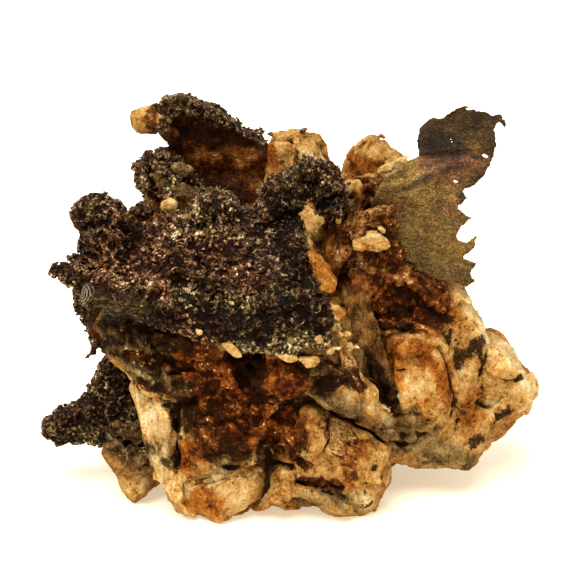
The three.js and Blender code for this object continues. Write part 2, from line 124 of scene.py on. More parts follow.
def cells(places, size, seed=0):
    """The nearest of scattered points, one to a cell: how far it is, its table row and the way to it."""
    scaled = places / size + 5.17 * seed
    home = np.floor(scaled).astype(np.int32)
    nearest = np.full(len(places), np.inf, np.float32)
    best = np.zeros(len(places), np.int8)
    for index, step in enumerate(NEIGHBOURS):
        cell = home + step
        away = cell + random_place[table_row(cell)] - scaled
        distance = np.sqrt(np.einsum("ij,ij->i", away, away))
        closer = distance < nearest
        nearest = np.where(closer, distance, nearest)
        best[closer] = index
    cell = home + NEIGHBOURS[best]
    row = table_row(cell)
    return nearest * size, row, (cell + random_place[row] - scaled) * size


def facets(places, size, slope, seed=0):
    """Flat chips between the planes that calcite splits along, with sharp steps from chip to chip."""
    _, row, away = cells(places, size, seed)
    number = random_value[row]
    plane = CLEAVAGE[(number * 97).astype(int) % 3] * np.sign(number - 0.5)[:, None]
    return slope * np.einsum("ij,ij->i", plane, away)


def smooth_step(low, high, value):
    """0 up to low, 1 from high on, and smooth between; low may be the larger."""
    t = np.clip((value - low) / (high - low), 0, 1)
    return t * t * (3 - 2 * t)


# ---------------------------------------------------------------------------------------------------
# Strokes: rods through given points, placed where the specimen has a stain, a crack or a lump
# ---------------------------------------------------------------------------------------------------

FAR = 9.0  # a distance beyond which no rod or chip matters


def reach(places, points):
    """The distance from each place to the line through the points."""
    points = np.asarray(points, np.float32)
    nearest = np.full(len(places), np.inf, np.float32)
    for start, end in zip(points[:-1], points[1:]):
        along = end - start
        share = np.clip((places - start) @ along / (along @ along), 0, 1)
        away = places - start - share[:, None] * along
        nearest = np.minimum(nearest, np.sqrt(np.einsum("ij,ij->i", away, away)))
    return nearest


def cover(places, strokes, soft=0.6):
    """How much the strokes, each (points, radius, strength), cover each place: 0 to 1."""
    total = np.zeros(len(places), np.float32)
    for points, radius, strength in strokes:
        share = reach(places, points) / radius
        total = np.maximum(total, strength * smooth_step(1 + soft / 2, 1 - soft / 2, share))
    return total


# Most stains and cracks run back into the rock. Their strokes and the places are compared in a space where
# depth counts for less than width and height, and where what lies further back counts as higher.
DEEP = np.array([(1, 0, 0), (0, 0.4, 0.268), (0, 0, 1)], np.float32)
THROUGH = DEEP * np.array((1, 0.2, 1), np.float32)  # depth counts for even less


def deep(strokes, squash=DEEP):
    """The strokes in a squashed space, where they meet the surface however uneven it is."""
    return [(np.asarray(points, np.float32) @ squash, *rest) for points, *rest in strokes]


def rods(places, strokes):
    """The distance to the nearest rod's surface, from strokes of (points, radius)."""
    total = np.full(len(places), FAR, np.float32)
    for points, radius in strokes:
        total = np.minimum(total, reach(places, points) - radius)
    return total


def grooves(places, strokes):
    """The depth of sharp grooves along strokes of (points, half width, depth)."""
    total = np.zeros(len(places), np.float32)
    for points, width, depth in strokes:
        total = np.maximum(total, depth * np.clip(1 - reach(places, points) / width, 0, 1))
    return total


def joined(a, b, soft):
    """The union of two solids' distances, with a soft seam."""
    share = np.clip(0.5 + 0.5 * (b - a) / soft, 0, 1)
    return b + (a - b) * share - soft * share * (1 - share)


# ---------------------------------------------------------------------------------------------------
# Sculpting: from a solid to a volume of distances and back to a mesh
# ---------------------------------------------------------------------------------------------------

CHUNK = 40000  # rows worked on at a time
THREADS = 4
HOLLOW_BLUR = 8  # passes of blur that a hollow is measured against
STROKE_MARGIN = 0.9  # how far round rods a volume is worked on
GROWTH_MARGIN = 0.8  # how far the volume of a small growth reaches past its rods


def in_chunks(function, *arrays):
    """The function's results over the arrays' rows, worked out a chunk at a time on a few threads."""

    def results(start):
        return function(*(array[start : start + CHUNK] for array in arrays))

    with ThreadPoolExecutor(THREADS) as threads:
        return np.concatenate(list(threads.map(results, range(0, len(arrays[0]), CHUNK))))


def solid_surface(node):
    """A CAD node's vertices, in mm, and its triangles."""
    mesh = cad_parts[node].data
    mesh.calc_loop_triangles()
    points = np.empty(3 * len(mesh.vertices), np.float32)
    mesh.vertices.foreach_get("co", points)
    triangles = np.empty(3 * len(mesh.loop_triangles), np.int32)
    mesh.loop_triangles.foreach_get("vertices", triangles)
    return points.reshape(-1, 3) / MM, triangles.reshape(-1, 3).astype(np.uint32)


def blurred(volume, passes, axes=(0, 1, 2)):
    """The volume with its sharp edges rounded, by a small blur along each axis in turn."""
    for _ in range(passes):
        for axis in axes:
            volume = 0.25 * np.roll(volume, 1, axis) + 0.5 * volume + 0.25 * np.roll(volume, -1, axis)
    return volume


def value_at(volume, low, voxel, points):
    """The volume's value at each point, blended from the voxels round it."""
    scaled = points / voxel - low
    cell = np.clip(np.floor(scaled).astype(int), 0, np.array(volume.shape) - 2)
    total = np.zeros(len(points), np.float32)
    for corner, weight in corner_weights((scaled - cell).astype(np.float32)):
        x, y, z = (cell + corner).T
        total += weight * volume[x, y, z]
    return total


def node_volume(node, voxel, band):
    """Signed distances to a CAD solid's surface, and the grid place of the first of them."""
    points, triangles = solid_surface(node)
    half_width = band / voxel + 2
    grid = openvdb.FloatGrid.createLevelSetFromPolygons(
        points,
        triangles=triangles,
        transform=openvdb.createLinearTransform(voxelSize=voxel),
        halfWidth=half_width,
    )
    margin = int(half_width) + 2
    low = np.floor(points.min(0) / voxel).astype(int) - margin
    high = np.ceil(points.max(0) / voxel).astype(int) + margin
    volume = np.empty(high - low + 1, np.float32)
    grid.copyToArray(volume, ijk=tuple(low.tolist()))
    return volume, low


def rod_volume(strokes, voxel):
    """Signed distances to a few rods, and the grid place of the first of them."""
    ends = np.concatenate([np.asarray(points, np.float32) for points, _ in strokes])
    margin = max(radius for _, radius in strokes) + GROWTH_MARGIN
    low = np.floor((ends.min(0) - margin) / voxel).astype(int)
    high = np.ceil((ends.max(0) + margin) / voxel).astype(int)
    shape = high - low + 1
    places = ((np.indices(shape).reshape(3, -1).T + low) * voxel).astype(np.float32)
    return in_chunks(lambda part: rods(part, strokes), places).reshape(shape), low


def surface(volume, low, voxel):
    """The points and quads of a volume's surface, and how deep each point lies in a hollow, in mm."""
    grid = openvdb.FloatGrid(float(volume.max()))
    grid.transform = openvdb.createLinearTransform(voxelSize=voxel)
    grid.copyFromArray(volume, ijk=tuple(low.tolist()))
    points, _, quads = grid.convertToPolygons(isovalue=0.0, adaptivity=0.0)
    return points, quads, -value_at(blurred(volume, HOLLOW_BLUR), low, voxel, points)


def boxes_round(volume, low, voxel, strokes):
    """Which voxels lie in the boxes round the strokes."""
    near = np.zeros(volume.shape, bool)
    for points, radius in strokes:
        ends = np.asarray(points)
        first = np.floor((ends.min(0) - radius - STROKE_MARGIN) / voxel).astype(int) - low
        last = np.ceil((ends.max(0) + radius + STROKE_MARGIN) / voxel).astype(int) - low
        near[tuple(slice(max(a, 0), max(b, 0)) for a, b in zip(first, last))] = True
    return near


def carved(volume, low, voxel, shape, band, added=()):
    """The surface once shape(places, distances) has worked on the volume near it and what is added."""
    near = (np.abs(volume) < band) | boxes_round(volume, low, voxel, added)
    places = ((np.argwhere(near) + low) * voxel).astype(np.float32)
    volume[near] = in_chunks(shape, places, volume[near])
    return surface(volume, low, voxel)


ROOM_CELL = 0.8
ROOM_MARGIN = 6  # cells round the specimen
ROOM_BLUR = 10
FLOOR_FILL = 0.5  # the floor closes a crevice half as much as rock does


def filled_room():
    """How full the surroundings are, 0 to 1, on a coarse grid over the whole specimen."""
    low = np.floor(np.array(cad_box[0]) / MM / ROOM_CELL).astype(int) - ROOM_MARGIN
    high = np.ceil(np.array(cad_box[1]) / MM / ROOM_CELL).astype(int) + ROOM_MARGIN
    full = np.zeros(high - low + 1, np.float32)
    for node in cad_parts:
        volume, corner = node_volume(node, ROOM_CELL, 1.0)
        start = corner - low
        end = start + volume.shape
        first = np.maximum(start, 0)
        last = np.minimum(end, full.shape)
        inside = volume[tuple(slice(a, b) for a, b in zip(first - start, last - start))] < 0
        part = full[tuple(slice(a, b) for a, b in zip(first, last))]
        part[inside] = 1.0
    full[:, :, : -low[2]] = FLOOR_FILL
    return blurred(full, ROOM_BLUR), low


room, room_low = filled_room()


def crevice(points):
    """From 0 in the open to 1 deep between the blocks. The materials darken by it as painted shade."""
    return smooth_step(0.5, 0.85, value_at(room, room_low, ROOM_CELL, points))


# ---------------------------------------------------------------------------------------------------
# The silver crust
# ---------------------------------------------------------------------------------------------------

CLUMP = 1.9  # the size of a clump of grains
GRAIN = 0.52  # and of a grain

# Rods added to a solid and carved out of it, each (points, radius).
PLATE_ADDED = [
    (((-22.4, -11.6, 35.8), (-20.4, -11.4, 35.4)), 2.1),
    (((-21.6, -13.4, 33.0), (-20.0, -13.4, 32.6)), 1.8),
    (((-26.0, -15.4, 30.2), (-22.9, -15.6, 30.0), (-19.7, -17.6, 29.2), (-17.4, -18.2, 28.0)), 0.8),
    (((-21.8, -18.2, 28.0), (-19.7, -18.4, 27.4), (-17.1, -18.0, 26.6)), 1.4),
    (((-15.6, -17.6, 28.6), (-13.8, -16.6, 29.8), (-11.8, -14.8, 31.0)), 0.9),
    (((-11.8, -14.6, 31.2), (-11.6, -14.8, 31.0)), 1.5),
    (((-11.4, -15.6, 30.2), (-8.6, -16.8, 29.0), (-5.5, -17.5, 27.8), (-2.7, -18, 27.2)), 1.0),
    (((-2.7, -18, 27.2), (2, -18, 27.4)), 1.0),
    (((-10.2, -9.4, 35.6), (-8.0, -9.6, 36.6), (-6.4, -9.6, 35.8)), 1.3),
    (((-3.6, -9.8, 35.6), (-1.1, -9.4, 36.6), (1.0, -8.8, 38.0)), 1.2),
    (((-1.8, -8.9, 38.0), (0.6, -8.9, 39.6), (2.2, -8.7, 40.6)), 1.3),
    (((2.2, -8.7, 40.6), (4.0, -8.6, 40.3), (4.8, -8.6, 39.2)), 1.1),
    (((4.6, -8.6, 39.0), (5.4, -8.8, 37.4), (5.0, -9.0, 35.8)), 1.0),
    (((3.4, -8.0, 37.2), (4.3, -8.0, 35.9)), 1.2),
]
PLATE_CARVED = [
    (((-18.8, -12.0, 33.6), (-18.4, -12.2, 33.4)), 1.5),
    (((-18.6, -15.0, 32.4), (-15.0, -13.8, 32.6), (-11.0, -12.4, 33.4)), 1.6),
    (((-9.3, -13.0, 33.2), (-6.0, -13.8, 32.0), (-3.4, -15.6, 31.0)), 1.3),
    (((-4.8, -8.6, 37.0), (-4.6, -11.0, 35.6)), 1.2),
    (((-15.6, -19.4, 26.0), (-10.0, -20, 24.6)), 1.1),
    (((7.6, -8.0, 40.0), (7.8, -8.2, 36.0)), 1.3),
    (((3.6, -12.6, 37.1), (3.7, -9.8, 36.5)), 0.9),
]
PLATE_ROLL = [(((-22.4, -18.8, 28.2), (-19.7, -19.0, 27.4), (-16.8, -18.8, 26.4)), 1.3, 0.8)]
SPIKE_ADDED = [(((-28.1, -5.6, 8.3), (-27.0, -5.8, 9.6), (-24.4, -6.2, 10.6)), 1.3)]
ARM_ADDED = [
    (((-16.2, 10.4, 44.0), (-14.2, 10.8, 44.8), (-12, 11.2, 44.2)), 0.9),
    (((-16.0, 10.4, 43.2), (-15.0, 11, 41.2)), 1.1),
    (((-5.6, 11.6, 40.9), (-5.2, 11.6, 41.1)), 0.5),
]
ARM_LUMPS = [
    (((-17.8, 9.4, 38.8), (-17.2, 9.4, 38.2)), 0.9),
    (((-19.0, 9.4, 37.2), (-18.4, 9.4, 36.2)), 1.0),
    (((-18.2, 9.0, 35.6), (-17.4, 9.0, 34.2)), 1.2),
    (((-16.0, 9.0, 37.0), (-14.6, 9.0, 36.4)), 1.5),
    (((-15.8, 8.8, 34.6), (-13.6, 9.0, 34.2)), 1.6),
    (((-15.2, 9.8, 38.4), (-14.0, 10.0, 38.0)), 1.0),
    (((-13.4, 9.4, 36.6), (-11.8, 9.8, 34.8)), 1.2),
    (((-12.2, 9.6, 33.6), (-9.8, 10.0, 33.4)), 1.0),
]

# Tones and bare patches, each (points, radius, strength).
CRUST_TONES = {
    "ember": [
        (((-11.4, 12, 38.0), (-8.6, 12.4, 37.4), (-5, 12.4, 38.0)), 1.5, 1.2),
        (((-13.2, 11, 37.0), (-11.0, 12, 37.4)), 0.8, 0.6),
        (((-4.6, 12.2, 37.8), (-4.4, 12.6, 34)), 1.2, 0.7),
    ],
    "black": [
        (((-27, -6, 7), (-22, -7, 10), (-19, -8, 13)), 3.0, 0.5),
        (((-12, 11, 42), (-8, 12, 41)), 2.0, 0.6),
        (((3.6, -11.0, 36.8), (3.7, -8.0, 36.1)), 1.0, 2.2),
        (((5.4, -9, 36.4), (5.8, -9, 34.4)), 1.5, 1.0),
        (((0.7, -10.1, 35.4), (1.8, -12, 33), (3.4, -17, 28)), 2.8, 0.8),
        (((-2.7, -18.6, 26.4), (4.0, -18.6, 25.4)), 2.6, 0.9),
        (((-9.4, -19, 25.4), (-4, -19, 24.9), (0, -19, 24.9)), 1.9, 0.9),
        (((-15.6, -17.6, 28.6), (-11.8, -14.8, 31), (-8.6, -16.8, 29), (-5.5, -17.5, 27.8)), 1.4, 0.9),
        (((-22, -18.4, 28), (-17, -18.4, 26.4), (-13, -19, 25)), 1.9, 0.8),
        (((-22.5, -12, 36.5), (-22.5, -13.5, 33)), 2.0, 0.6),
        (((-19.0, -12.0, 33.2), (-18.2, -12.2, 33.0)), 1.6, 1.0),
    ],
    "red": [
        (((-20.1, -16.1, 31.3), (-16.8, -14.4, 30.9), (-12.9, -13.8, 31.2), (-9.3, -13.1, 32)), 3.0, 0.7),
        (((-18, -16.6, 29.6), (-14.4, -17.2, 28.8)), 1.8, 0.7),
        (((-6.7, -14.4, 30.5), (-4.4, -16.4, 29.3)), 2.2, 0.7),
        (((-20, -11.6, 35), (-14, -10.6, 34.6)), 2.0, 0.6),
        (((-13, -19, 25.6), (-10, -19.4, 24.6)), 1.4, 0.7),
    ],
    "tan": [
        (((-13.8, -17.4, 28.2), (-11.6, -17.6, 27.8)), 1.5, 0.5),
        (((-14.5, 10.6, 44.8), (-8, 11.6, 42)), 1.3, 0.5),
        (((-7.0, -17.8, 27.6), (-5.2, -18.2, 26.8)), 0.9, 1.1),
        (((-11.0, -18.6, 26.4), (-10.4, -19.0, 25.0)), 0.7, 1.1),
        (((-17.4, -17.6, 28.4), (-15.6, -17.6, 28.0)), 0.6, 0.9),
        (((-6.6, -17.9, 27.4), (-4.4, -18.2, 26.6)), 1.5, 0.7),
        (((-1.6, -18.9, 23.6), (2.6, -18.8, 23.0)), 0.8, 1.2),
        (((-14, -11, 34.2), (-9.6, -11.4, 34.2)), 1.5, 0.7),
        (((-5, -19.4, 22.8), (4, -18.8, 21.8)), 1.2, 0.8),
        (((-21, -16.6, 29.8), (-18, -18, 28.8)), 0.8, 0.7),
        (((-2.0, -17.4, 28.2), (0.6, -17.4, 28.0)), 1.2, 0.5),
        (((-25, -6.4, 7), (-21, -7.6, 8), (-19, -8.6, 10)), 1.4, 0.7),
        (((-15.8, 7.6, 37.0), (-13.8, 7.8, 36.2)), 1.1, 1.0),
        (((-14.4, 7.4, 34.2), (-12.6, 7.8, 33.8)), 1.1, 1.0),
        (((-10.8, 8.8, 33.6), (-9.8, 9, 33.4)), 0.9, 0.9),
    ],
}
CAVITY = [
    (((-13.8, 11.4, 40.6), (-9.6, 12.2, 39.4), (-5.6, 12.6, 37.8), (-4, 12.6, 35)), 2.6, 1.0),
    (((-11.4, 12.6, 37), (-7, 13.4, 35), (-5, 13.4, 32)), 3.0, 1.0),
    (((-24.0, -4, 24.2), (-23.2, -4, 21.6), (-22.8, -4, 19.6)), 1.3, 0.8),
]


def crust_grains(places):
    """How far each place is from the middle of its grain, and the grain's table row."""
    distance, row, _ = cells(swayed(places, 0.5, 0.16, seed=44), GRAIN, seed=3)
    return distance, row


def crusted(added=(), hollowed=(), relief=0.55, smooth=()):
    """A shape of drusy silver: clumps of rounded grains that stand out, with pits between them."""

    def shape(places, distance):
        bent = swayed(places, 1.6, 0.5, seed=40)
        bare = cover(bent, smooth, soft=0.8) if smooth else 0.0
        base = distance + 0.35 + relief * fractal(places, 4.5, 2, seed=4)
        base += bare * 0.5 * fractal(places, 2.6, 3, seed=7)
        if added:
            base = joined(base, rods(bent, added), 0.6)
        if hollowed:
            base = -joined(-base, rods(bent, hollowed), 0.6)
        clump, _, _ = cells(places, CLUMP, seed=2)
        base += 0.55 * (1 - bare) * (clump / CLUMP - 0.45)
        close = np.abs(base) < 0.75
        grain, row = crust_grains(places[close])
        grains = np.maximum(grain - 0.1 - 0.24 * random_value[row], base[close] - 0.36)
        if smooth:
            grains += 0.5 * bare[close]
        base[close] = np.minimum(base[close], grains)
        return base

    return shape


CRUST_MARKS = ("grain", "cavity", "roll", *CRUST_TONES)


def crust_marks(points):
    """The marks that the crust's material reads."""
    _, row = crust_grains(points)
    bent = swayed(points, 1.6, 0.8, seed=50)
    tones = [cover(bent, strokes, soft=1.0) for strokes in (PLATE_ROLL, *CRUST_TONES.values())]
    bare = cover(swayed(points, 1.6, 0.5, seed=40), CAVITY, soft=0.8)
    return np.stack([random_value[row], bare, *tones], 1)


# ---------------------------------------------------------------------------------------------------
# The calcite matrix
# ---------------------------------------------------------------------------------------------------

# The ledge below the plate's left end.
LEDGE = ((-21.2, -16, 20.6), (-18.5, -16, 18.8), (-15.8, -16, 18.0), (-12.0, -16, 16.6))

# Stains on the rock, each (points, radius, strength). A few strokes stand for painted shade or painted
# light instead, as their comments say.
STAINS = {
    "black": [
        (((19.5, -9.5, 18.0), (20.9, -9, 18.6), (21.9, -8.5, 19.1), (23.4, -7, 19.2)), 0.8, 1.1),
        (((19.7, -9.5, 17.7), (20.5, -9, 17.2)), 0.5, 1.0),
        (((22.9, -7.5, 18.6), (22.9, -7.5, 17.2), (23.2, -7.5, 15.8)), 0.6, 1.0),
        (((18.2, -7.3, 22.0), (18.8, -7.3, 21.7)), 0.6, 0.9),
        (((27.7, -6.1, 14.3), (27.5, -6.1, 14.2)), 0.5, 1.0),
        (((23.9, -7, 14.9), (25.7, -6.5, 13.8), (27.8, -6, 14.0)), 0.24, 0.8),
        (((25, -3.5, 19.8), (25.9, -3.7, 17.6), (26.9, -5, 16.2)), 0.25, 0.8),
        (((24.6, -6, 8.6), (25.6, -6, 9.3), (26.6, -6, 10.2)), 0.9, 1.1),
        (((23.4, -9, 8.4), (25, -7, 8.2)), 0.35, 0.7),
        (((12.4, -8.5, 25.0), (14.4, -8, 24.0), (16.4, -7.6, 23.2)), 1.6, 0.55),
        (((13.4, -11, 6.9), (15.5, -10.5, 5.7), (18.0, -10, 5.1)), 0.8, 0.5),
        (((10.4, -9.8, 22.3), (12, -9.8, 22.0), (14, -9.4, 22.1)), 0.75, 1.1),
        (((3.7, -17, 16.9), (5.0, -17.2, 17.8), (7.0, -17, 17.4)), 0.7, 0.9),
        (((4.0, -16.6, 14.8), (5.2, -16, 13.6), (6.6, -15.6, 13.0)), 0.6, 0.9),
        (((7.0, -17, 19), (7.8, -16.8, 17.4), (8.4, -16, 15.7)), 0.5, 0.8),
        (((-14.7, -15, 15.8), (-13.5, -14.9, 13.6), (-13.3, -14.6, 11.4)), 1.0, 0.7),
        (((-13.9, -14.6, 7.1), (-13.4, -14.6, 6.9)), 0.5, 0.9),
        (((22.1, -9.1, 7.4), (22.7, -9, 7.6)), 0.6, 1.0),
        (((19.8, -10.9, 13.6), (20.3, -9.9, 11.6)), 0.5, 0.7),
        (((11.6, -8, 21.4), (13.9, -9.2, 21.9)), 0.8, 0.9),
        # Painted shade: black where the rock lies deep behind the blade's slot.
        (((9.4, -10, 18.4), (10.6, -10, 15.4), (12.4, -11, 12.2)), 1.1, 1.2),
        (((-11.8, -15.8, 14.2), (-11.4, -15.8, 11.4)), 0.9, 0.8),
        (((-8.9, -15.9, 14.4), (-8.3, -15.9, 13.0)), 0.8, 0.8),
        (((-10.5, -15.8, 17.5), (-9.0, -15.8, 16.4)), 1.2, 0.5),
        (((-6.0, -16, 20.2), (-3.6, -16, 18.4)), 1.3, 0.9),
        (((-5.4, -16, 17.6), (-3.2, -16, 16.4)), 1.0, 0.8),
        (((-3.9, -14.6, 14.7), (-0.7, -14.7, 14.5), (3, -15, 14.7)), 0.45, 0.9),
        (((-20.6, -15.4, 25.2), (-17, -16.6, 23.6), (-12, -17, 22)), 1.6, 0.5),
        (((-17.4, -15, 17.6), (-15.4, -15, 16.8)), 0.9, 0.8),
        (((-7.6, -16.3, 9.4), (-6.4, -16.4, 8.6), (-5, -16.4, 8.4)), 1.1, 0.8),
        (((-3.4, -14.4, 9.6), (-2.8, -15.2, 7.6)), 1.1, 0.9),
        (((9.9, -15.5, 6.5), (10.1, -15.5, 6.3)), 0.45, 1.0),
        (((9.2, -16.1, 4.5), (9.3, -16, 4.3)), 0.4, 1.0),
        # Painted shade in the narrow gap right of the column.
        (((-12.6, -14.6, 14.6), (-12.6, -14.8, 9.2)), 0.3, 0.9),
    ],
    "dark": [
        (((7.4, -8, 37), (9, -9, 32), (11, -8.5, 28.5)), 4.4, 1.0),
        (((11, -8.5, 28.5), (14, -8, 26.6), (16.6, -8, 25.8)), 2.6, 1.0),
        (((13.6, -7.4, 27.0), (16.0, -7.6, 25.2), (17.6, -7.6, 23.8)), 1.3, 1.0),
        (((6.5, -8, 30.5), (5.6, -9.6, 28.4), (5.4, -11, 26.6)), 2.0, 0.8),
        (((1.0, -15.7, 5.2), (3.8, -15.8, 4.2), (5.8, -16, 3.8)), 0.8, 0.9),
        (((6.6, -16, 7.6), (7.0, -16.2, 5.4)), 0.9, 0.6),
        (((0.4, -15.2, 8.4), (1.6, -15.8, 7.4)), 0.8, 0.8),
        (((8.9, -15.8, 3.0), (9.9, -15.6, 2.0), (8.9, -15.8, 1.3)), 0.35, 0.8),
        (((14.2, -12.2, 12.6), (15.2, -12.2, 12)), 0.7, 0.5),
        (((11.6, -10.6, 21.2), (11.4, -11.6, 18)), 0.8, 0.5),
        (((-3.6, 11.4, 39), (-3.2, 11.4, 36.6)), 0.8, 0.6),
        (((0.2, 11, 40.6), (0.6, 11, 36)), 0.35, 0.8),
        (((2.6, 11, 40.8), (2.8, 11, 37.4)), 0.25, 0.7),
        (((9, -9, 24), (10, -9, 20)), 2.4, 0.6),
        (((-21.0, -16, 22.8), (-17, -16, 22.0), (-13, -16, 20.4)), 2.8, 1.2),
        (((-15, -16, 23.6), (-11, -16, 22)), 2.4, 1.0),
        (((-16.2, -16, 17.0), (-14.4, -16, 16.6), (-12.6, -16, 15.8)), 0.9, 0.9),
        (((-11, -15.5, 18.5), (-9.5, -15.8, 14), (-8, -16, 10.5)), 3.8, 0.75),
        (((-4, -14.5, 14.0), (-1, -14.5, 12.0), (0, -14.8, 9.8)), 2.8, 0.6),
        (((-20, -10.2, 9), (-17.2, -10.8, 7.4)), 3.0, 0.8),
        (((4.6, -15.2, 12), (6.8, -15.2, 9.6)), 2.0, 0.3),
        (((5.0, -17.2, 20.6), (6.6, -17, 18.6), (7.8, -16.8, 16.8)), 1.0, 0.9),
        (((15, -11, 8), (19, -10, 5.4), (23, -9, 5.6)), 1.2, 0.35),
        (((-4, -17, 20), (0, -17.4, 19.4), (3.4, -17.6, 18.4)), 2.2, 0.9),
        (((-3, -17, 17.6), (1, -17.6, 17)), 1.8, 0.7),
        (((4.6, -17.4, 18.6), (6.6, -17, 17.4)), 1.4, 0.45),
        (((-8, -16, 8), (-4, -16.4, 6.4)), 1.8, 0.5),
        (((2.4, -15.7, 7), (6, -15.8, 4.4)), 1.5, 0.3),
        (((11, -7.2, 24.2), (15.4, -7.2, 22.6)), 2.6, 0.35),
        (((-15, 10, 36), (-15, 9, 33)), 3.4, 0.6),
        (((7.4, 3.4, 40.6), (8.2, 3.4, 37)), 1.8, 0.4),
        (((0.4, 11, 37.4), (3, 11, 36)), 1.2, 0.4),
        (((1.4, -14.8, 1.6), (6, -15.4, 2.2), (10, -15.4, 1.2)), 1.0, 0.4),
    ],
    "red": [
        (((-10, -16, 18), (-7, -16, 17.7), (-5.9, -14.7, 15.2), (-6, -15, 12)), 3.0, 1.0),
        (((-2.7, -17.2, 19), (-1, -17.5, 18)), 2.6, 1.0),
        (((-3, -14.2, 13), (-1.5, -14.5, 11.4)), 2.8, 1.0),
        (((11, -7.2, 24.2), (16.4, -7.2, 22.6)), 2.6, 1.0),
    ],
    "rust": [
        (((11.6, -10, 20.3), (12.6, -11.5, 18.5), (12.6, -12.4, 16)), 1.4, 1.0),
        (((14, -12.6, 18.6), (15.2, -12.6, 17.4)), 1.6, 0.5),
        (((16.2, -12.2, 19.8), (17.0, -12.2, 17.6), (17.6, -12.2, 15.4)), 0.9, 1.0),
        (((18, -12.4, 17.4), (18.4, -12.4, 15)), 1.4, 0.9),
        (((13.6, -12.6, 17.6), (15.2, -12.6, 14.4)), 2.2, 0.35),
        (((22, -8, 12.5), (21, -9, 11)), 2.0, 0.7),
        (((-10.2, -17, 3.2), (-9, -17, 2.2)), 2.0, 1.0),
        (((-11.4, -15.7, 8), (-10.6, -15.8, 7)), 1.6, 1.0),
        (((7.4, -15.2, 9.8), (8.4, -15.8, 8.6)), 1.3, 0.7),
        (((-6, -14.7, 15.4), (-5.6, -14.7, 14.6)), 1.3, 1.0),
        (((6, -15.2, 11), (5.8, -15.2, 9.6)), 1.6, 0.6),
        (((7.0, -16, 7.6), (6.8, -16, 3.6)), 0.9, 0.7),
        (((3.9, -8, 34.2), (4.0, -8, 31.8)), 1.1, 0.9),
        (((2.2, -15.6, 12.6), (3.0, -16, 9.0)), 1.2, 0.45),
        (((-0.4, -16.8, 18), (2.6, -17.2, 17.6)), 1.2, 0.8),
        (((15.6, -12.6, 20.0), (13.0, -12.0, 20.6)), 1.2, 0.6),
        (((19.4, -7, 22.4), (21.6, -6, 21.2)), 1.4, 0.4),
        (((-3.8, 11.6, 40.2), (-2.6, 11.6, 37.4), (-2.4, 11.6, 33)), 1.6, 1.2),
        (((8, 3.4, 39), (9.6, 3.4, 38)), 1.8, 0.8),
    ],
    "pale": [
        # Painted light: the right block's edge, lit from behind, and its right face, which the lamp lights
        # less, made paler.
        (((22.8, -4.6, 22.4), (24.6, -4, 20), (26, -3.4, 17.8), (28.4, -3, 15), (29.8, -4, 12)), 2.4, 1.0),
        (((24.6, -6.2, 17), (26.6, -6.2, 14.6), (28.8, -5.7, 11.6)), 2.4, 0.45),
        (((21.4, -8.2, 15.2), (23.6, -7.2, 12.4)), 1.8, 0.4),
        (((-2.6, 11.6, 35.8), (-1.6, 11.4, 33.4)), 1.2, 1.1),
        (((1.4, 11, 40), (1.8, 11, 37)), 0.9, 0.6),
        (((21, -6, 25.5), (22.8, -5, 22.4)), 1.6, 1.0),
        (((14, -12.6, 14), (16.8, -12.6, 11.2)), 2.4, 0.25),
        (((15.3, -11, 9.2), (18.5, -10.5, 7)), 2.2, 0.25),
        (((-17.4, -13, 15.6), (-16, -14.5, 12), (-15, -14.6, 8), (-14, -14.4, 4)), 1.6, 1.05),
        (LEDGE, 0.5, 0.5),
        (((-17.2, -17, 23.8), (-16.6, -17, 23.4)), 0.4, 1.0),
        (((-19.6, -11.4, 4), (-18.4, -11.4, 2.4)), 1.4, 0.35),
        (((-10.4, -16, 5.4), (-8.8, -16.2, 5.8), (-7.6, -16.2, 6.4)), 0.6, 0.8),
        (((-12.6, -15, 4.5), (-11.5, -15, 1.5)), 1.8, 0.7),
        (((-9.6, -15.6, 6.2), (-8, -15.8, 6.6)), 1.0, 1.0),
        (((9, -15.8, 2), (9.6, -15.7, 2)), 1.0, 1.0),
        (((6.3, -17.2, 16.3), (7.2, -17, 15.5)), 0.8, 0.5),
        (((8.8, -14, 14.8), (9.6, -13, 12.6), (11.4, -12.4, 11)), 1.2, 0.8),
        (((1.5, -15, 2.5), (5, -15.2, 1.2)), 1.0, 0.5),
        (((-7, -17, 4.2), (-5.6, -17, 2.6)), 1.6, 0.7),
        (((2.6, -8, 37.0), (3.0, -8, 35.0), (3.4, -8, 33.4)), 1.0, 1.0),
        (((4.0, 11, 40.4), (4.8, 11, 37)), 1.0, 1.2),
        (((2.0, 11, 38), (3.2, 11, 36)), 1.4, 1.0),
        (((13.6, -12.6, 15.0), (15.4, -12.6, 12.8)), 1.8, 0.6),
    ],
    "gold": [
        (((4.5, -15.5, 12.5), (6.0, -15.2, 11.5), (6.9, -15.3, 10.2)), 0.95, 1.2),
        (((4.8, -15.5, 10.8), (5.7, -15.5, 8.6)), 0.85, 1.2),
        (((6.1, -17.2, 20.8), (6.9, -17.0, 19.2)), 0.6, 1.0),
        (((7.2, -17.0, 18.0), (8.0, -16.6, 16.4)), 0.5, 0.9),
        (((6.6, -8, 37.4), (8.4, -8, 34.6), (10.6, -7.6, 36.4)), 2.4, 0.72),
        (((7.6, -9, 31), (9.6, -8.8, 28.6), (12, -8.4, 27.4)), 1.8, 0.62),
        (((7.6, -8.0, 33.8), (9.4, -8.4, 33.6), (10.4, -8.4, 31.6)), 1.2, 0.7),
        (((6, -7, 29.4), (7.4, -8, 27.6)), 1.2, 0.5),
    ],
    "grey": [
        (((4.2, -17.6, 15.6), (7.2, -17.0, 14.4)), 1.6, 1.0),
        (((-20, -10.4, 9), (-17.2, -10.8, 7.4)), 3.0, 0.9),
        (((-15.2, -15, 12), (-14.2, -15, 6)), 1.2, 0.5),
        (((13.4, -12, 11.6), (16.8, -12, 9.4)), 1.6, 0.6),
        (((-22.4, -15, 26.4), (-21.6, -15, 22), (-18.6, -16, 23.6), (-14, -16.6, 22)), 1.8, 0.9),
        (LEDGE, 1.2, 1.0),
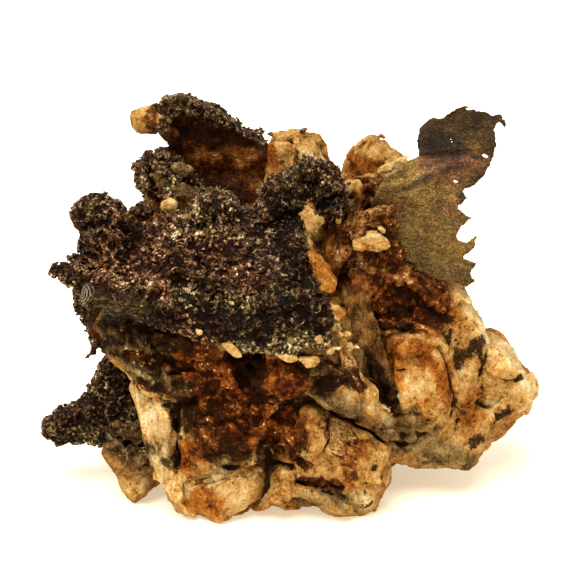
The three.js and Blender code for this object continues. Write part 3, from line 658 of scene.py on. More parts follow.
        (((2.6, -18, 19.6), (5.4, -18, 18.8)), 1.4, 0.7),
        (((-16, 9.4, 36), (-13, 9.4, 33)), 2.6, 0.6),
        (((11.5, -12, 9.6), (13.5, -10.8, 8)), 2.0, 0.8),
        (((14, -11, 9), (17, -10, 6), (21, -9.5, 5)), 2.0, 0.8),
        (((1.4, -15, 2.4), (8, -15.4, 2)), 1.3, 0.7),
        (((-19, -11.7, 5.6), (-17, -11.7, 3.4)), 1.6, 0.6),
        (((-10, -16, 5.8), (-7.4, -16, 6.4)), 1.6, 0.6),
    ],
}
CRACKS = [
    (((17.1, -11.5, 20.1), (17.6, -12, 19.1), (18.2, -12, 18.2), (18.8, -12, 16.2)), 0.28, 0.9),
    (((18.8, -12, 16.2), (19.2, -12, 14.6)), 0.28, 0.9),
    (((19.2, -12, 14.6), (19.8, -12, 13.3), (20.2, -12, 11.9)), 0.25, 0.5),
    (((17.5, -12, 17.1), (18.7, -12, 14.6)), 0.2, 0.35),
    (((12.4, -12.5, 17.7), (13.3, -12.5, 17.7)), 0.3, 0.8),
    (((4.8, -14, 12.8), (8.1, -13.7, 11.1), (11.8, -12, 8.5), (14, -11, 7.4)), 0.3, 1.0),
    (((-12.6, -14.6, 14.6), (-12.9, -14.6, 11), (-12.8, -14.8, 6.6)), 0.2, 0.8),
    (((-3.9, -14.5, 14.3), (-0.7, -14.6, 14.1), (2.3, -15, 14.4), (4.8, -14.2, 12.8)), 0.22, 0.7),
    (((-11.6, -15.6, 4.4), (-8.6, -16.2, 5.2), (-5.4, -16.6, 6.3)), 0.2, 0.5),
    (((4.1, -15.4, 13.4), (4.5, -15.6, 11), (4.2, -15.8, 8.8)), 0.25, 0.8),
    (((-2.5, -15.4, 9.0), (-2.4, -16, 6.0), (-2.6, -16, 3.4)), 0.3, 1.0),
    (((0.6, -15.9, 5.2), (3.6, -16, 4.4), (6.2, -16.2, 4.6)), 0.25, 0.5),
    (((19.2, -10.6, 12.8), (19.9, -10.2, 10.6), (19.6, -9.8, 9.0)), 0.25, 0.6),
    (((22.8, -7.6, 14.8), (25.6, -6.3, 14.2), (27.8, -6.2, 14.3)), 0.2, 0.4),
]
ROCK_ADDED = [
    (((-17.4, -13.4, 15.4), (-16.2, -14.4, 12.4), (-15.4, -14.6, 9.3), (-14.6, -14.8, 5.6)), 1.2),
    (((-12.3, -14.6, 15.0), (-12.2, -15.0, 10.0), (-12.4, -15.0, 4.9)), 0.4),
    (((-2.4, -16.7, 17.8), (0.6, -17.0, 17.4), (3.0, -17.0, 18.0)), 1.7),
    (((4.6, -16.9, 16.0), (6.9, -16.4, 14.9)), 1.7),
    (((2.2, -15.0, 13.0), (3.0, -15.2, 11.0), (2.7, -15.4, 8.0)), 1.3),
    (((12.7, -12.1, 20.8), (12.9, -12.2, 17.0), (13.1, -12.1, 13.2)), 0.55),
    (((12.7, -12.1, 20.8), (15.0, -11.8, 20.7), (17.2, -11.2, 20.3)), 0.5),
    (((0.4, -15.4, 4.6), (3.6, -15.6, 2.8), (6.6, -15.8, 1.7)), 0.9),
    (((-20.6, -10.6, 9.6), (-17.4, -10.6, 9.0)), 0.9),
    (((13.4, -7.2, 27.2), (16.0, -7.4, 25.3), (17.5, -7.4, 23.8)), 0.8),
    (((9.9, -10.2, 22.6), (12, -9.8, 22.3), (13.8, -9.4, 22.4)), 0.6),
    (((6.0, -15.4, 21.4), (6.9, -15.9, 18.6), (8.0, -16.6, 16.4)), 0.75),
]
ROCK_CARVED = [
    (((-18.4, -13.0, 7.8), (-17.0, -13.0, 5.6)), 1.5),
    (((8.5, -17.6, 17.0), (8.7, -17.0, 14.6)), 0.5),
    (((0.4, -17.9, 15.4), (3.4, -18.1, 16.2)), 0.7),
    (((9.6, -16.6, 17.6), (11.4, -15.4, 13.0)), 0.6),
    (((-11.2, -16.6, 12.8), (-9.4, -16.8, 10.8)), 0.8),
    (((-3.2, -15.6, 9.4), (-2.8, -16, 7.6)), 0.7),
    (((2.4, -13.4, 0.2), (2.4, -16.8, 0.2)), 1.4),
    (((-16.2, -8.0, 0.4), (-15.9, -9.6, 0.8)), 1.2),
    (((-14.2, -14.0, 1.0), (-13.2, -15.4, 0.7)), 0.65),
    (((3.6, -17.9, 17.6), (6.6, -17.9, 17.9)), 0.8),
]
FIBRES = [
    (((-17.4, -13, 15.6), (-16, -14.5, 12), (-14.4, -14.6, 8), (-13.4, -14.4, 4)), 2.4, 1.0),
    (((1.5, 11, 41), (1.8, 11, 36)), 2.6, 0.6),
    (LEDGE, 1.2, 1.0),
    (((-21.4, -16, 25), (-20.6, -16, 22)), 1.4, 0.7),
]
STRONG = 0.55  # dark and black strokes that are stronger than this are drusy
DRUSY = [stroke for name in ("dark", "black") for stroke in STAINS[name] if stroke[2] > STRONG]


def cracks(places):
    """How deep the cracks cut at each place."""
    return grooves(swayed(places, 1.2, 0.3, seed=63) @ THROUGH, deep(CRACKS, THROUGH))


def broken_calcite(places, distance):
    """Broken calcite: uneven ground with cleavage steps, drusy where it is dark, cracked and fibrous."""
    ground = distance + 0.12 + 0.18 * fractal(places, 5.0, 2, seed=6) + facets(places, 4.4, 0.22, seed=21)
    sway = swayed(places, 1.6, 0.35, seed=64)
    ground = joined(ground, rods(sway, ROCK_ADDED), 0.5)
    ground = -joined(-ground, rods(sway, ROCK_CARVED), 0.4)
    close = np.abs(ground) < 0.9
    near = places[close]
    bent = swayed(near, 1.8, 0.6, seed=60)
    drusy = cover(bent @ DEEP, deep(DRUSY))
    fibrous = cover(bent @ DEEP, deep(FIBRES))
    plain = 1 - np.maximum(drusy, fibrous)
    chips = facets(near, 1.7, 0.14, seed=22) + 0.06 * fractal(near, 0.7, 2, seed=8)
    druse = sum(height * (cells(where, size, seed)[0] / size - 0.5) for where, size, seed, height in (
        (near, 0.95, 14, 0.8), (swayed(near, 1.4, 0.5, seed=66), 2.3, 15, 0.7), (near, 0.5, 16, 0.35),
    ))
    fibre = 0.3 * streaks(near, (0.22, -0.1, -1), 0.42, 6.0, seed=17)
    ground[close] += plain * chips + drusy * druse + fibrous * fibre + cracks(near)
    return ground


def stains_at(points, strokes_by_name):
    """How strong each kind of stain is at each point: one row of numbers for each name."""
    bent = swayed(swayed(points, 2.2, 0.7, seed=50), 0.7, 0.3, seed=53) @ DEEP
    return np.stack([cover(bent, deep(strokes), soft=1.2) for strokes in strokes_by_name.values()])


BACK_PATCHES = {"dark": 0.12, "rust": 0.0, "grey": 0.05, "pale": 0.1, "red": 0.25}  # noise each starts at
CALCITE_MARKS = (*STAINS, "crack", "fibre")


def calcite_marks(points):
    """The marks that the rock's material reads. The back has broad patches in place of strokes."""
    stains = stains_at(points, STAINS)
    behind = smooth_step(1.5, 6, points[:, 1]) * smooth_step(34, 30, points[:, 2])
    for seed, (name, low) in enumerate(BACK_PATCHES.items()):
        row = CALCITE_MARKS.index(name)
        patches = behind * smooth_step(low, low + 0.2, fractal(points, 9.0, 3, seed=30 + seed))
        stains[row] = np.maximum(stains[row], patches)
    cracked = np.clip(cracks(points) * 1.3, 0, 1)
    bent = swayed(points, 2.2, 0.7, seed=50) @ DEEP
    return np.stack([*stains, cracked, cover(bent, deep(FIBRES))], 1)


SMALL_STAINS = {
    "rust": [
        (((3.6, -13, 30.2), (4.9, -13, 26.8)), 2.2, 0.9),
        (((5.4, -16.4, 25.6), (5.8, -16.2, 25.0)), 1.0, 1.0),
        (((8.4, -9.8, 31.2), (8.8, -9.8, 31.0)), 0.8, 0.8),
    ],
    "dark": [
        (((-17.2, 11, 43.8), (-16.8, 11, 42.0)), 0.9, 0.8),
        (((-18.4, 11, 42.0), (-17.6, 11, 41.4)), 0.6, 0.6),
    ],
    "grey": [(((-16.5, 8.4, 37.0), (-13, 8.4, 35), (-9.5, 8.4, 34)), 3.0, 1.8)],
    "black": [
        (((7.1, -7.4, 38.4), (7.2, -7.4, 38.4)), 0.22, 1.0),
        (((6.4, -7.6, 38.2), (6.5, -7.6, 38.2)), 0.2, 1.0),
    ],
}

# The small pieces' chips: the corners (x, z) of each one's outline, clockwise, and its front and back y.
CHIPS = {
    "calcite_grain_1": [
        (((8.6, 32.3), (9.0, 33.0), (10.4, 33.1), (11.5, 31.8), (10.5, 30.9), (9.0, 31.0)), -10.3, -8.6),
        (((7.3, 32.1), (8.6, 32.6), (9.2, 31.8), (8.8, 31.1), (7.3, 31.2)), -10.0, -8.8),
    ],
    "calcite_grain_2": [
        (((6.0, 38.2), (6.7, 38.8), (7.9, 38.9), (8.4, 38.4), (7.8, 38.0), (6.7, 37.8)), -7.9, -6.6),
    ],
    "calcite_grain_3": [
        (((10.3, 38.9), (11.2, 39.7), (12.6, 40.4), (13.9, 40.5), (13.6, 38.9), (11.7, 38.4)), -3.0, -1.0),
    ],
    "calcite_grain_4": [
        (((2.1, 31.6), (3.4, 31.4), (5.4, 28.4), (5.1, 27.2), (3.7, 27.4), (2.6, 29.7)), -13.9, -11.8),
    ],
    "calcite_grain_5": [
        (((4.4, 26.4), (5.4, 26.4), (6.2, 25.5), (5.6, 24.7), (4.8, 25.0)), -16.8, -15.4),
    ],
}
CHIP_EDGE = 0.06  # how far a chip's edges are rounded


def small_marks(points):
    """The marks that the material of a small piece of calcite reads."""
    return stains_at(points, SMALL_STAINS).T


def chip(places, corners, front, back):
    """The distance to a chip: a convex outline of (x, z) corners, clockwise, between two depths."""
    corners = np.asarray(corners, np.float32)
    x, y, z = places.T
    sides = [front - y, y - back]
    for start, end in zip(corners, np.roll(corners, -1, 0)):
        along = (end - start) / np.linalg.norm(end - start)
        sides.append((z - start[1]) * along[0] - (x - start[0]) * along[1])
    scaled = np.minimum(np.stack(sides) / CHIP_EDGE, 60)  # no higher, so that its exponential is finite
    return CHIP_EDGE * np.log(np.exp(scaled).sum(0))


def spans(chips):
    """Strokes that reach as far as the chips do."""
    return [([(x, y, z) for x, z in corners for y in (front, back)], 0.1) for corners, front, back in chips]


def chipped(chips, slope):
    """A shape for small pieces of calcite, with flat sides that slope this much more or less."""

    def shape(places, distance):
        body = np.full(len(places), FAR, np.float32) if chips else distance
        for corners, front, back in chips:
            body = joined(body, chip(swayed(places, 1.0, 0.08, seed=72), corners, front, back), 0.15)
        return body + 0.05 * fractal(places, 0.9, 2, seed=70) + facets(places, 1.5, slope, seed=71)

    return shape


TIP = [(((-18.3, 10.9, 42.9), (-16.4, 10.9, 43.2)), 1.7)]


def rounded_tip(places, distance):
    """The tip's calcite, grown round the arm's end."""
    body = rods(swayed(places, 1.4, 0.2, seed=72), TIP)
    return joined(distance, body, 0.5) + 0.15 * fractal(places, 1.6, 2, seed=73)


# ---------------------------------------------------------------------------------------------------
# The bare silver leaf and blade
# ---------------------------------------------------------------------------------------------------

SHEET_VOXEL = 0.13
MIDDLE_BLUR = 30  # passes of blur that smooth a sheet's middle


def outline_distance(filled):
    """Signed distances, below 0 inside, to the edge of a flat shape on a grid of sheet voxels."""
    inner = filled.copy()
    for axis, way in itertools.product((0, 1), (1, -1)):
        inner &= np.roll(filled, way, axis)
    edge = np.argwhere(filled & ~inner).astype(np.float32)
    spots = np.argwhere(np.ones_like(filled)).astype(np.float32)
    nearest = in_chunks(lambda part: np.sqrt(((part[:, None] - edge) ** 2).sum(2).min(1)), spots)
    signed = np.where(filled.ravel(), -nearest - 0.5, nearest - 0.5) * SHEET_VOXEL
    return signed.reshape(filled.shape).astype(np.float32)


def sheet(node, thickness, bend, tear):
    """The surface of a thin sheet through the middle of an upright CAD plate.

    Of places that have y = 0, bend(places) says how far back the sheet is moved, and tear(places) how far
    in its edge is.
    """
    voxel = SHEET_VOXEL
    volume, low = node_volume(node, voxel, 1.2)
    inside = volume < 0
    y = ((np.arange(volume.shape[1]) + low[1]) * voxel)[None, :, None]
    filled = inside.any(1)
    weight = filled.astype(np.float32)
    total = (inside * y).sum(1) / np.maximum(inside.sum(1), 1)
    for _ in range(MIDDLE_BLUR):
        weight = blurred(weight, 1, (0, 1)) + 1e-9
        total = blurred(total, 1, (0, 1))
    columns, rows = ((np.arange(n) + a) * voxel for n, a in zip(filled.shape, low[[0, 2]]))
    x, z = np.meshgrid(columns, rows, indexing="ij")
    flat = np.stack([x.ravel(), np.zeros(x.size), z.ravel()], 1).astype(np.float32)
    middle = total / weight + bend(flat).reshape(filled.shape)
    edge = outline_distance(filled) + tear(flat).reshape(filled.shape)
    thin = 0.5 * thickness * (1 + 0.3 * fractal(flat, 2.5, 2, seed=80).reshape(filled.shape))
    volume = np.maximum(np.abs(y - middle[:, None]) - thin[:, None], edge[:, None]).astype(np.float32)
    return surface(volume, low, voxel)


def leaf_bend(flat):
    """Broad waves, the top part folded forward over a crease, and a soft rib below it."""
    across = flat[:, 0]
    fold = flat[:, 2] - 41.8 - 0.12 * (across - 18) + 0.3 * fractal(flat, 2.0, 2, seed=82)
    rib = flat[:, 2] - 38.2 - 0.34 * (across - 12.8)
    bend = 0.3 * fractal(flat, 6.0, 2, seed=81) - 0.45 * smooth_step(-0.1, 0.25, fold)
    bend -= 0.3 * np.exp(-((rib / 0.5) ** 2)) * smooth_step(22, 19, across)
    return bend + 0.06 * fractal(flat, (2.4, 1.0, 0.6), 2, seed=83)


# Holes, each (points, radius), and how steeply the edge's distance rises in them: more than the sheet's
# half width over a hole's radius where a hole is to open in its middle.
LEAF_HOLES = [
    (((14.2, 0, 38.8), (14.5, 0, 38.9)), 0.12),
    (((19.3, 0, 38.3), (19.6, 0, 38.2)), 0.11),
    (((18.7, 0, 43.3), (18.9, 0, 43.0)), 0.1),
    (((22.6, 0, 41.5), (22.9, 0, 41.4)), 0.15),
    (((20.4, 0, 47.0), (20.8, 0, 47.0)), 0.12),
]
LEAF_HOLE_RISE = 60
BLADE_HOLE_RISE = 6


def leaf_tear(flat):
    """A ragged right edge and a few pinholes."""
    ragged = smooth_step(15, 19, flat[:, 0])
    torn = 0.12 * np.abs(fractal(flat, 0.5, 2, seed=85))
    torn += ragged * (0.02 + 0.3 * np.abs(fractal(flat, 0.9, 3, seed=84)))
    holes = -rods(swayed(flat, 0.5, 0.1, seed=86) * (1, 0, 1), LEAF_HOLES)
    return torn + np.maximum(holes, 0) * LEAF_HOLE_RISE


def blade_bend(flat):
    """Upright folds, crumpled."""
    folds = 0.4 * soft_noise(flat, (0.7, 1.0, 6.0), seed=87) + 0.3 * fractal(flat, 2.0, 2, seed=88)
    return folds + 0.16 * fractal(flat, (0.4, 1.0, 0.9), 2, seed=89)


BLADE_SLOT = ((8.7, 0, 19.2), (10.2, 0, 16.2), (11.8, 0, 13.4))
BLADE_TONES = {
    # Painted shade round the slot.
    "slot": [(BLADE_SLOT, 1.0, 1.0)],
    "druse": [
        (((6.0, 0, 29.4), (8.0, 0, 28.8), (10.6, 0, 28.0)), 2.0, 1.0),
        (((10.8, 0, 26), (11.2, 0, 22)), 0.9, 0.7),
        (((5.8, 0, 26), (6.4, 0, 22)), 1.0, 0.6),
    ],
}
BLADE_HOLES = [
    (((4.0, 0, 31.4), (8.0, 0, 31.2), (11.0, 0, 30.4)), 2.3),
    (((6.4, 0, 28.8), (6.5, 0, 28.0)), 0.5),
    (((9.6, 0, 28.8), (9.7, 0, 28.2)), 0.5),
    (BLADE_SLOT, 0.55),
    (((11.3, 0, 29.0), (11.1, 0, 24.6)), 1.3),
]


def blade_marks(points):
    """The marks that the blade's material reads."""
    flat = swayed(points * np.array((1, 0, 1), np.float32), 1.2, 0.4, seed=91)
    return np.stack([cover(flat, strokes, soft=1.0) for strokes in BLADE_TONES.values()], 1)


def blade_tear(flat):
    """A ragged edge, a slot low down and a broken top."""
    holes = -rods(swayed(flat, 1.1, 0.7, seed=92) * (1, 0, 1), BLADE_HOLES)
    return 0.7 * np.abs(fractal(flat, 1.3, 3, seed=89)) + np.maximum(holes, 0) * BLADE_HOLE_RISE


LEAF_TONES = {
    "dark": [
        (((15, 0, 43.2), (17.5, 0, 42.8), (19.0, 0, 42.6)), 1.6, 1.25),
        (((17, 0, 45.2), (21, 0, 46.6), (23.5, 0, 45.4), (24, 0, 42.4)), 2.6, 0.7),
        (((16.8, 0, 40.6), (22.4, 0, 40.0)), 1.6, 0.3),
        # Thin dark lines at the crease and along the rib: painted shade.
        (((15.5, 0, 41.9), (19.2, 0, 41.6), (22.6, 0, 41.4)), 0.3, 1.0),
        (((13.4, 0, 37.9), (16, 0, 38.7), (19, 0, 40)), 0.35, 0.6),
        (((15, 0, 28.6), (18, 0, 27.2), (22, 0, 26.8)), 1.0, 0.15),
        (((23.6, 0, 41), (22.6, 0, 38.6), (20.6, 0, 36.4)), 1.0, 0.75),
    ],
    "copper": [
        (((16.6, 0, 40.4), (19.6, 0, 39.6), (21.4, 0, 40.4)), 1.8, 1.0),
        (((18.5, 0, 35.6), (18.8, 0, 35.0)), 0.8, 0.6),
        (((12.2, 0, 36), (11.8, 0, 33.8)), 1.2, 0.6),
    ],
    "green": [
        (((13.5, 0, 30.4), (17, 0, 28.6), (20.6, 0, 27.6)), 1.4, 0.7),
        (((11.5, 0, 38), (15, 0, 37.8)), 1.2, 0.5),
    ],
}


def leaf_marks(points):
    """The marks that the leaf's material reads."""
    flat = swayed(points * np.array((1, 0, 1), np.float32), 1.6, 0.5, seed=90)
    return np.stack([cover(flat, strokes, soft=1.2) for strokes in LEAF_TONES.values()], 1)


# ---------------------------------------------------------------------------------------------------
# Materials
# ---------------------------------------------------------------------------------------------------

WHITE = (1, 1, 1)


class Tree:
    """A material's node tree, built by short calls. An input's value is a number, a colour or a socket.

    Sizes are in mm. An input is named by its name, or as i0, i1 and so on by its number.
    """

    def __init__(self, name):
        self.material = bpy.data.materials.new(name)
        self.material.use_nodes = True
        self.nodes = self.material.node_tree.nodes
        self.links = self.material.node_tree.links
        self.shader = self.nodes["Principled BSDF"]
        at = self.node("TexCoord").outputs["Object"]
        self.at = self.node("VectorMath", {"operation": "SCALE"}, i0=at, Scale=1 / MM).outputs[0]

    def set(self, node, **inputs):
        for name, value in inputs.items():
            number = name[1:]
            socket = node.inputs[int(number) if number.isdigit() else name.replace("_", " ")]
            if isinstance(value, bpy.types.NodeSocket):
                self.links.new(value, socket)
            elif isinstance(value, tuple) and len(value) == 3 and socket.type == "RGBA":
                socket.default_value = (*value, 1)
            else:
                socket.default_value = value
        return node

    def node(self, kind, settings=None, **inputs):
        node = self.nodes.new("ShaderNode" + kind)
        for name, value in (settings or {}).items():
            setattr(node, name, value)
        return self.set(node, **inputs)

    def mark(self, name):
        """A number that the mesh holds for each vertex."""
        return self.node("Attribute", {"attribute_name": name}).outputs["Fac"]

    def noise(self, size, detail=3.0, rough=0.6, distort=0.0, at=None):
        texture = self.node("TexNoise", Scale=1 / size, Detail=detail, Roughness=rough)
        return self.set(texture, Distortion=distort, Vector=at or self.at).outputs["Fac"]

    def cell(self, size, output="Distance", feature="F1", at=None):
        texture = self.node("TexVoronoi", {"feature": feature}, Scale=1 / size, Vector=at or self.at)
        return texture.outputs[output]

    def flecks(self, size, jitter, amount):
        """A number from -0.5 to 0.5 for each cell, with edges jittered by that much."""
        number = self.cell(size, "Color", at=self.jittered(jitter, amount))
        return self.math("SUBTRACT", number, 0.5)

    def stretched(self, x, y, z):
        """The places, multiplied along each axis: less than 1 draws a pattern out."""
        return self.node("VectorMath", {"operation": "MULTIPLY"}, i0=self.at, i1=(x, y, z)).outputs[0]

    def jittered(self, size, amount):
        """The places, moved about by noise."""
        noise = self.node("TexNoise", Scale=1 / size, Vector=self.at).outputs["Color"]
        moved = self.node("VectorMath", {"operation": "SCALE"}, i0=noise, Scale=amount).outputs[0]
        return self.node("VectorMath", {"operation": "ADD"}, i0=self.at, i1=moved).outputs[0]

    def math(self, operation, a, b=0.0, c=0.0):
        return self.node("Math", {"operation": operation}, i0=a, i1=b, i2=c).outputs[0]

    def times(self, a, b):
        return self.math("MULTIPLY", a, b)

    def ramp(self, value, low, high):
        """0 up to low, 1 from high on, and smooth between; low may be the larger."""
        smooth = {"interpolation_type": "SMOOTHSTEP"}
        return self.node("MapRange", smooth, i0=value, i1=low, i2=high).outputs[0]

    def total(self, *terms):
        """The sum of numbers, sockets and (socket, weight) pairs."""
        result = 0.0
        for term in terms:
            socket, weight = term if isinstance(term, tuple) else (term, 1.0)
            result = self.math("MULTIPLY_ADD", socket, weight, result)
        return result

    def wave(self, size, detail, rough, distort=0.0, at=None):
        """Noise from about -0.5 to 0.5."""
        return self.math("SUBTRACT", self.noise(size, detail, rough, distort, at), 0.5)

    def blend(self, share, a, b):
        """From number a at share 0 to number b at share 1."""
        return self.node("Mix", {"data_type": "FLOAT"}, i0=share, i2=a, i3=b).outputs[0]

    def mix(self, share, a, b, blend="MIX"):
        """From colour a at share 0 to colour b at share 1."""
        return self.node("Mix", {"data_type": "RGBA", "blend_type": blend}, i0=share, i6=a, i7=b).outputs[2]

    def tinted(self, colour, tint, share=1.0):
        """The colour, multiplied by as much of the tint as the share says."""
        return self.mix(1.0, colour, self.mix(share, WHITE, tint), "MULTIPLY")

    def shades(self, number, stops):
        """A colour from a number, by (number, colour) stops."""
        node = self.node("ValToRGB", i0=number)
        while len(node.color_ramp.elements) < len(stops):
            node.color_ramp.elements.new(1.0)
        for element, (position, colour) in zip(node.color_ramp.elements, stops):
            element.position = position
            element.color = (*colour, 1)
        return node.outputs[0]

    def shaded(self, colour, rough, specular, height, distance, strength=1.0):
        """The material, once its shader has its colour, roughness, specular level and bump."""
        bump = self.node("Bump", Strength=strength, Distance=distance, Height=height)
        self.set(self.shader, Base_Color=colour, Roughness=rough, Normal=bump.outputs[0])
        self.shader.inputs["Specular IOR Level"].default_value = specular
        return self.material


# Stops (number, colour) for shades(), and the colour that the darkest of them end in.
GOLD = ((0.0, (0.02, 0.007, 0.0015)), (0.5, (0.24, 0.105, 0.024)), (1.0, (0.62, 0.40, 0.15)))
PITCH = (0.006, 0.0022, 0.0008)
YELLOW = (
    (0.0, (0.62, 0.50, 0.29)), (0.2, (0.48, 0.31, 0.112)), (0.4, (0.34, 0.165, 0.038)),
    (0.6, (0.15, 0.058, 0.011)), (0.8, (0.04, 0.012, 0.0025)), (1.0, PITCH),
)
ORANGE = (
    (0.0, (0.52, 0.32, 0.12)), (0.2, (0.42, 0.19, 0.036)), (0.4, (0.30, 0.10, 0.013)),
    (0.6, (0.14, 0.036, 0.0045)), (0.8, (0.042, 0.009, 0.0013)), (1.0, PITCH),
)
GREY = (
    (0.0, (0.52, 0.43, 0.27)), (0.2, (0.34, 0.25, 0.12)), (0.4, (0.19, 0.13, 0.05)),
    (0.6, (0.085, 0.055, 0.02)), (0.8, (0.03, 0.018, 0.007)), (1.0, PITCH),
)
DRUSE = (
    (0.0, (0.003, 0.0011, 0.0004)), (0.3, (0.020, 0.0052, 0.0011)), (0.5, (0.075, 0.021, 0.004)),
    (0.7, (0.20, 0.07, 0.014)), (0.9, (0.45, 0.26, 0.09)), (1.0, (0.72, 0.58, 0.36)),
)
OLIVE_DRUSE = (
    (0.0, (0.003, 0.0016, 0.0006)), (0.3, (0.017, 0.008, 0.0026)), (0.5, (0.06, 0.031, 0.0095)),
    (0.7, (0.17, 0.10, 0.036)), (0.9, (0.40, 0.29, 0.13)), (1.0, (0.72, 0.62, 0.42)),
)


def calcite_material(name, clean):
    """Calcite stained by iron. Its colour goes from cream to pitch by how dirty a spot is; it is darker
    still in hollows (dirt and painted shade) and in crevices (painted shade), with painted glints and
    lighter ridges as painted highlight.
    """
    t = Tree(name)
    coarse, medium, fine = t.wave(4.5, 3, 0.6), t.wave(1.5, 6, 0.72, 0.6), t.wave(0.3, 4, 0.75)
    tiny = t.flecks(0.16, 0.2, 0.2)
    speck = t.times(t.ramp(t.cell(0.8), 0.26, 0.1), t.ramp(t.noise(2.2), 0.48, 0.62))
    edge = t.cell(3.2, "Distance", "DISTANCE_TO_EDGE", at=t.jittered(1.6, 2.2))
    vein = t.times(t.ramp(edge, 0.05, 0.0), t.ramp(t.noise(1.6, 4), 0.45, 0.65))
    drawn = t.wave(0.4, 4, 0.7, 0.5, at=t.stretched(1.0, 1.0, 0.14))
    dirt = t.total(
        0.43 - clean, (coarse, 0.5), (medium, 1.2), (fine, 0.8), (tiny, 0.1), (speck, 0.35), (vein, 0.22),
        (t.mark("pale"), -0.28), (t.mark("rust"), 0.1), (t.mark("grey"), 0.14),
        (t.times(drawn, t.mark("fibre")), 0.9),
    )
    warm = t.total(t.mark("rust"), (t.mark("red"), 1.2), (coarse, 1.2), (medium, 0.9))
    colour = t.mix(t.ramp(warm, 0.2, 0.8), t.shades(dirt, YELLOW), t.shades(dirt, ORANGE))
    cold = t.total((t.mark("grey"), 1.0), (t.wave(1.0, 5, 0.7), 1.2))
    colour = t.mix(t.times(t.ramp(cold, 0.3, 0.8), 0.75), colour, t.shades(dirt, GREY))
    # Painted glints: a few bright grains that stand in for light caught by crystal faces.
    painted_glint = t.ramp(t.cell(0.2, "Color", at=t.jittered(0.3, 0.3)), 0.72, 0.9)
    painted_glint = t.times(painted_glint, t.ramp(t.noise(2.4, 3), 0.44, 0.6))
    # In the crystal tone, pits are darker and ridges lighter: partly dirt, partly painted shade.
    crystal = t.total(
        0.25, (painted_glint, 0.4), (t.wave(1.8, 6, 0.7), 1.6),
        (t.flecks(1.5, 0.7, 1.2), 0.2), (t.flecks(0.42, 0.4, 0.4), 0.3), (tiny, 0.15),
        (t.wave(0.4, 4, 0.75), 0.5), (t.ramp(t.mark("hollow"), 0.15, -0.15), 0.18),
        (t.mark("red"), 0.1), (t.mark("gold"), 0.26), (t.mark("black"), -0.3),
    )
    olive = t.ramp(t.total(t.mark("grey"), (t.wave(1.8, 4, 0.7), 1.3)), 0.15, 0.6)
    druse = t.mix(olive, t.shades(crystal, DRUSE), t.shades(crystal, OLIVE_DRUSE))
    druse = t.tinted(druse, (1.14, 0.94, 0.75), t.mark("red"))
    dark = t.total(t.mark("dark"), (t.mark("red"), 0.7), t.mark("gold"), (t.wave(0.9, 6, 0.75), 1.5))
    dark = t.ramp(dark, 0.3, 0.7)
    colour = t.mix(dark, colour, druse)
    gilded = t.shades(t.total(0.5, (tiny, 0.9), (fine, 0.8)), GOLD)
    colour = t.mix(t.ramp(t.total(t.mark("gold"), (t.wave(0.9, 5, 0.7), 1.2)), 0.6, 0.95), colour, gilded)
    grit = t.times(t.mark("black"), t.wave(0.35, 5, 0.8))
    # Black stains and grit, darkened further in hollows and crevices as painted shade; in the hollows
    # partly dirt as well.
    black = t.total(
        t.mark("black"), (grit, 2.6), (t.wave(0.6, 7, 0.8), 1.8),
        (t.ramp(t.mark("hollow"), 0.05, 0.4), 0.7), (t.mark("crevice"), 0.6),
    )
    thin = t.ramp(t.wave(0.35, 5, 0.8), -0.1, 0.12)
    soot_and_shade = t.times(t.ramp(black, 0.35, 0.85), t.blend(thin, 1.0, 0.9))
    line = t.ramp(t.total(t.mark("crack"), (t.wave(1.0, 5, 0.7), 1.0)), 0.35, 0.7)
    soot_and_shade = t.math("MAXIMUM", soot_and_shade, line)
    colour = t.mix(soot_and_shade, colour, t.mix(t.ramp(fine, -0.2, 0.3), PITCH, (0.035, 0.012, 0.004)))
    # Painted highlight: ridges and edges made lighter and whiter.
    ridge_highlight = t.times(t.ramp(t.mark("hollow"), -0.06, -0.3), 0.3)
    colour = t.tinted(colour, (1.6, 1.55, 1.4), ridge_highlight)
    rough = t.total(0.35, (t.noise(1.4, 3), 0.4))
    return t.shaded(colour, rough, 0.02, t.noise(0.5, 6, 0.75), 0.0003)


CRUST_BROWN = (
    (0.0, (0.003, 0.0012, 0.0005)), (0.3, (0.013, 0.0050, 0.0020)), (0.5, (0.045, 0.021, 0.0098)),
    (0.7, (0.15, 0.083, 0.037)), (0.85, (0.32, 0.22, 0.115)), (1.0, (0.66, 0.55, 0.36)),
)
CRUST_TAN = (
    (0.0, (0.002, 0.0016, 0.001)), (0.3, (0.014, 0.009, 0.0035)), (0.5, (0.06, 0.037, 0.013)),
    (0.7, (0.21, 0.14, 0.055)), (0.85, (0.42, 0.31, 0.15)), (1.0, (0.7, 0.58, 0.34)),
)
ROLL_END = (-22.6, -18.9, 28.4)  # the ribs on the rolled edge ring this place


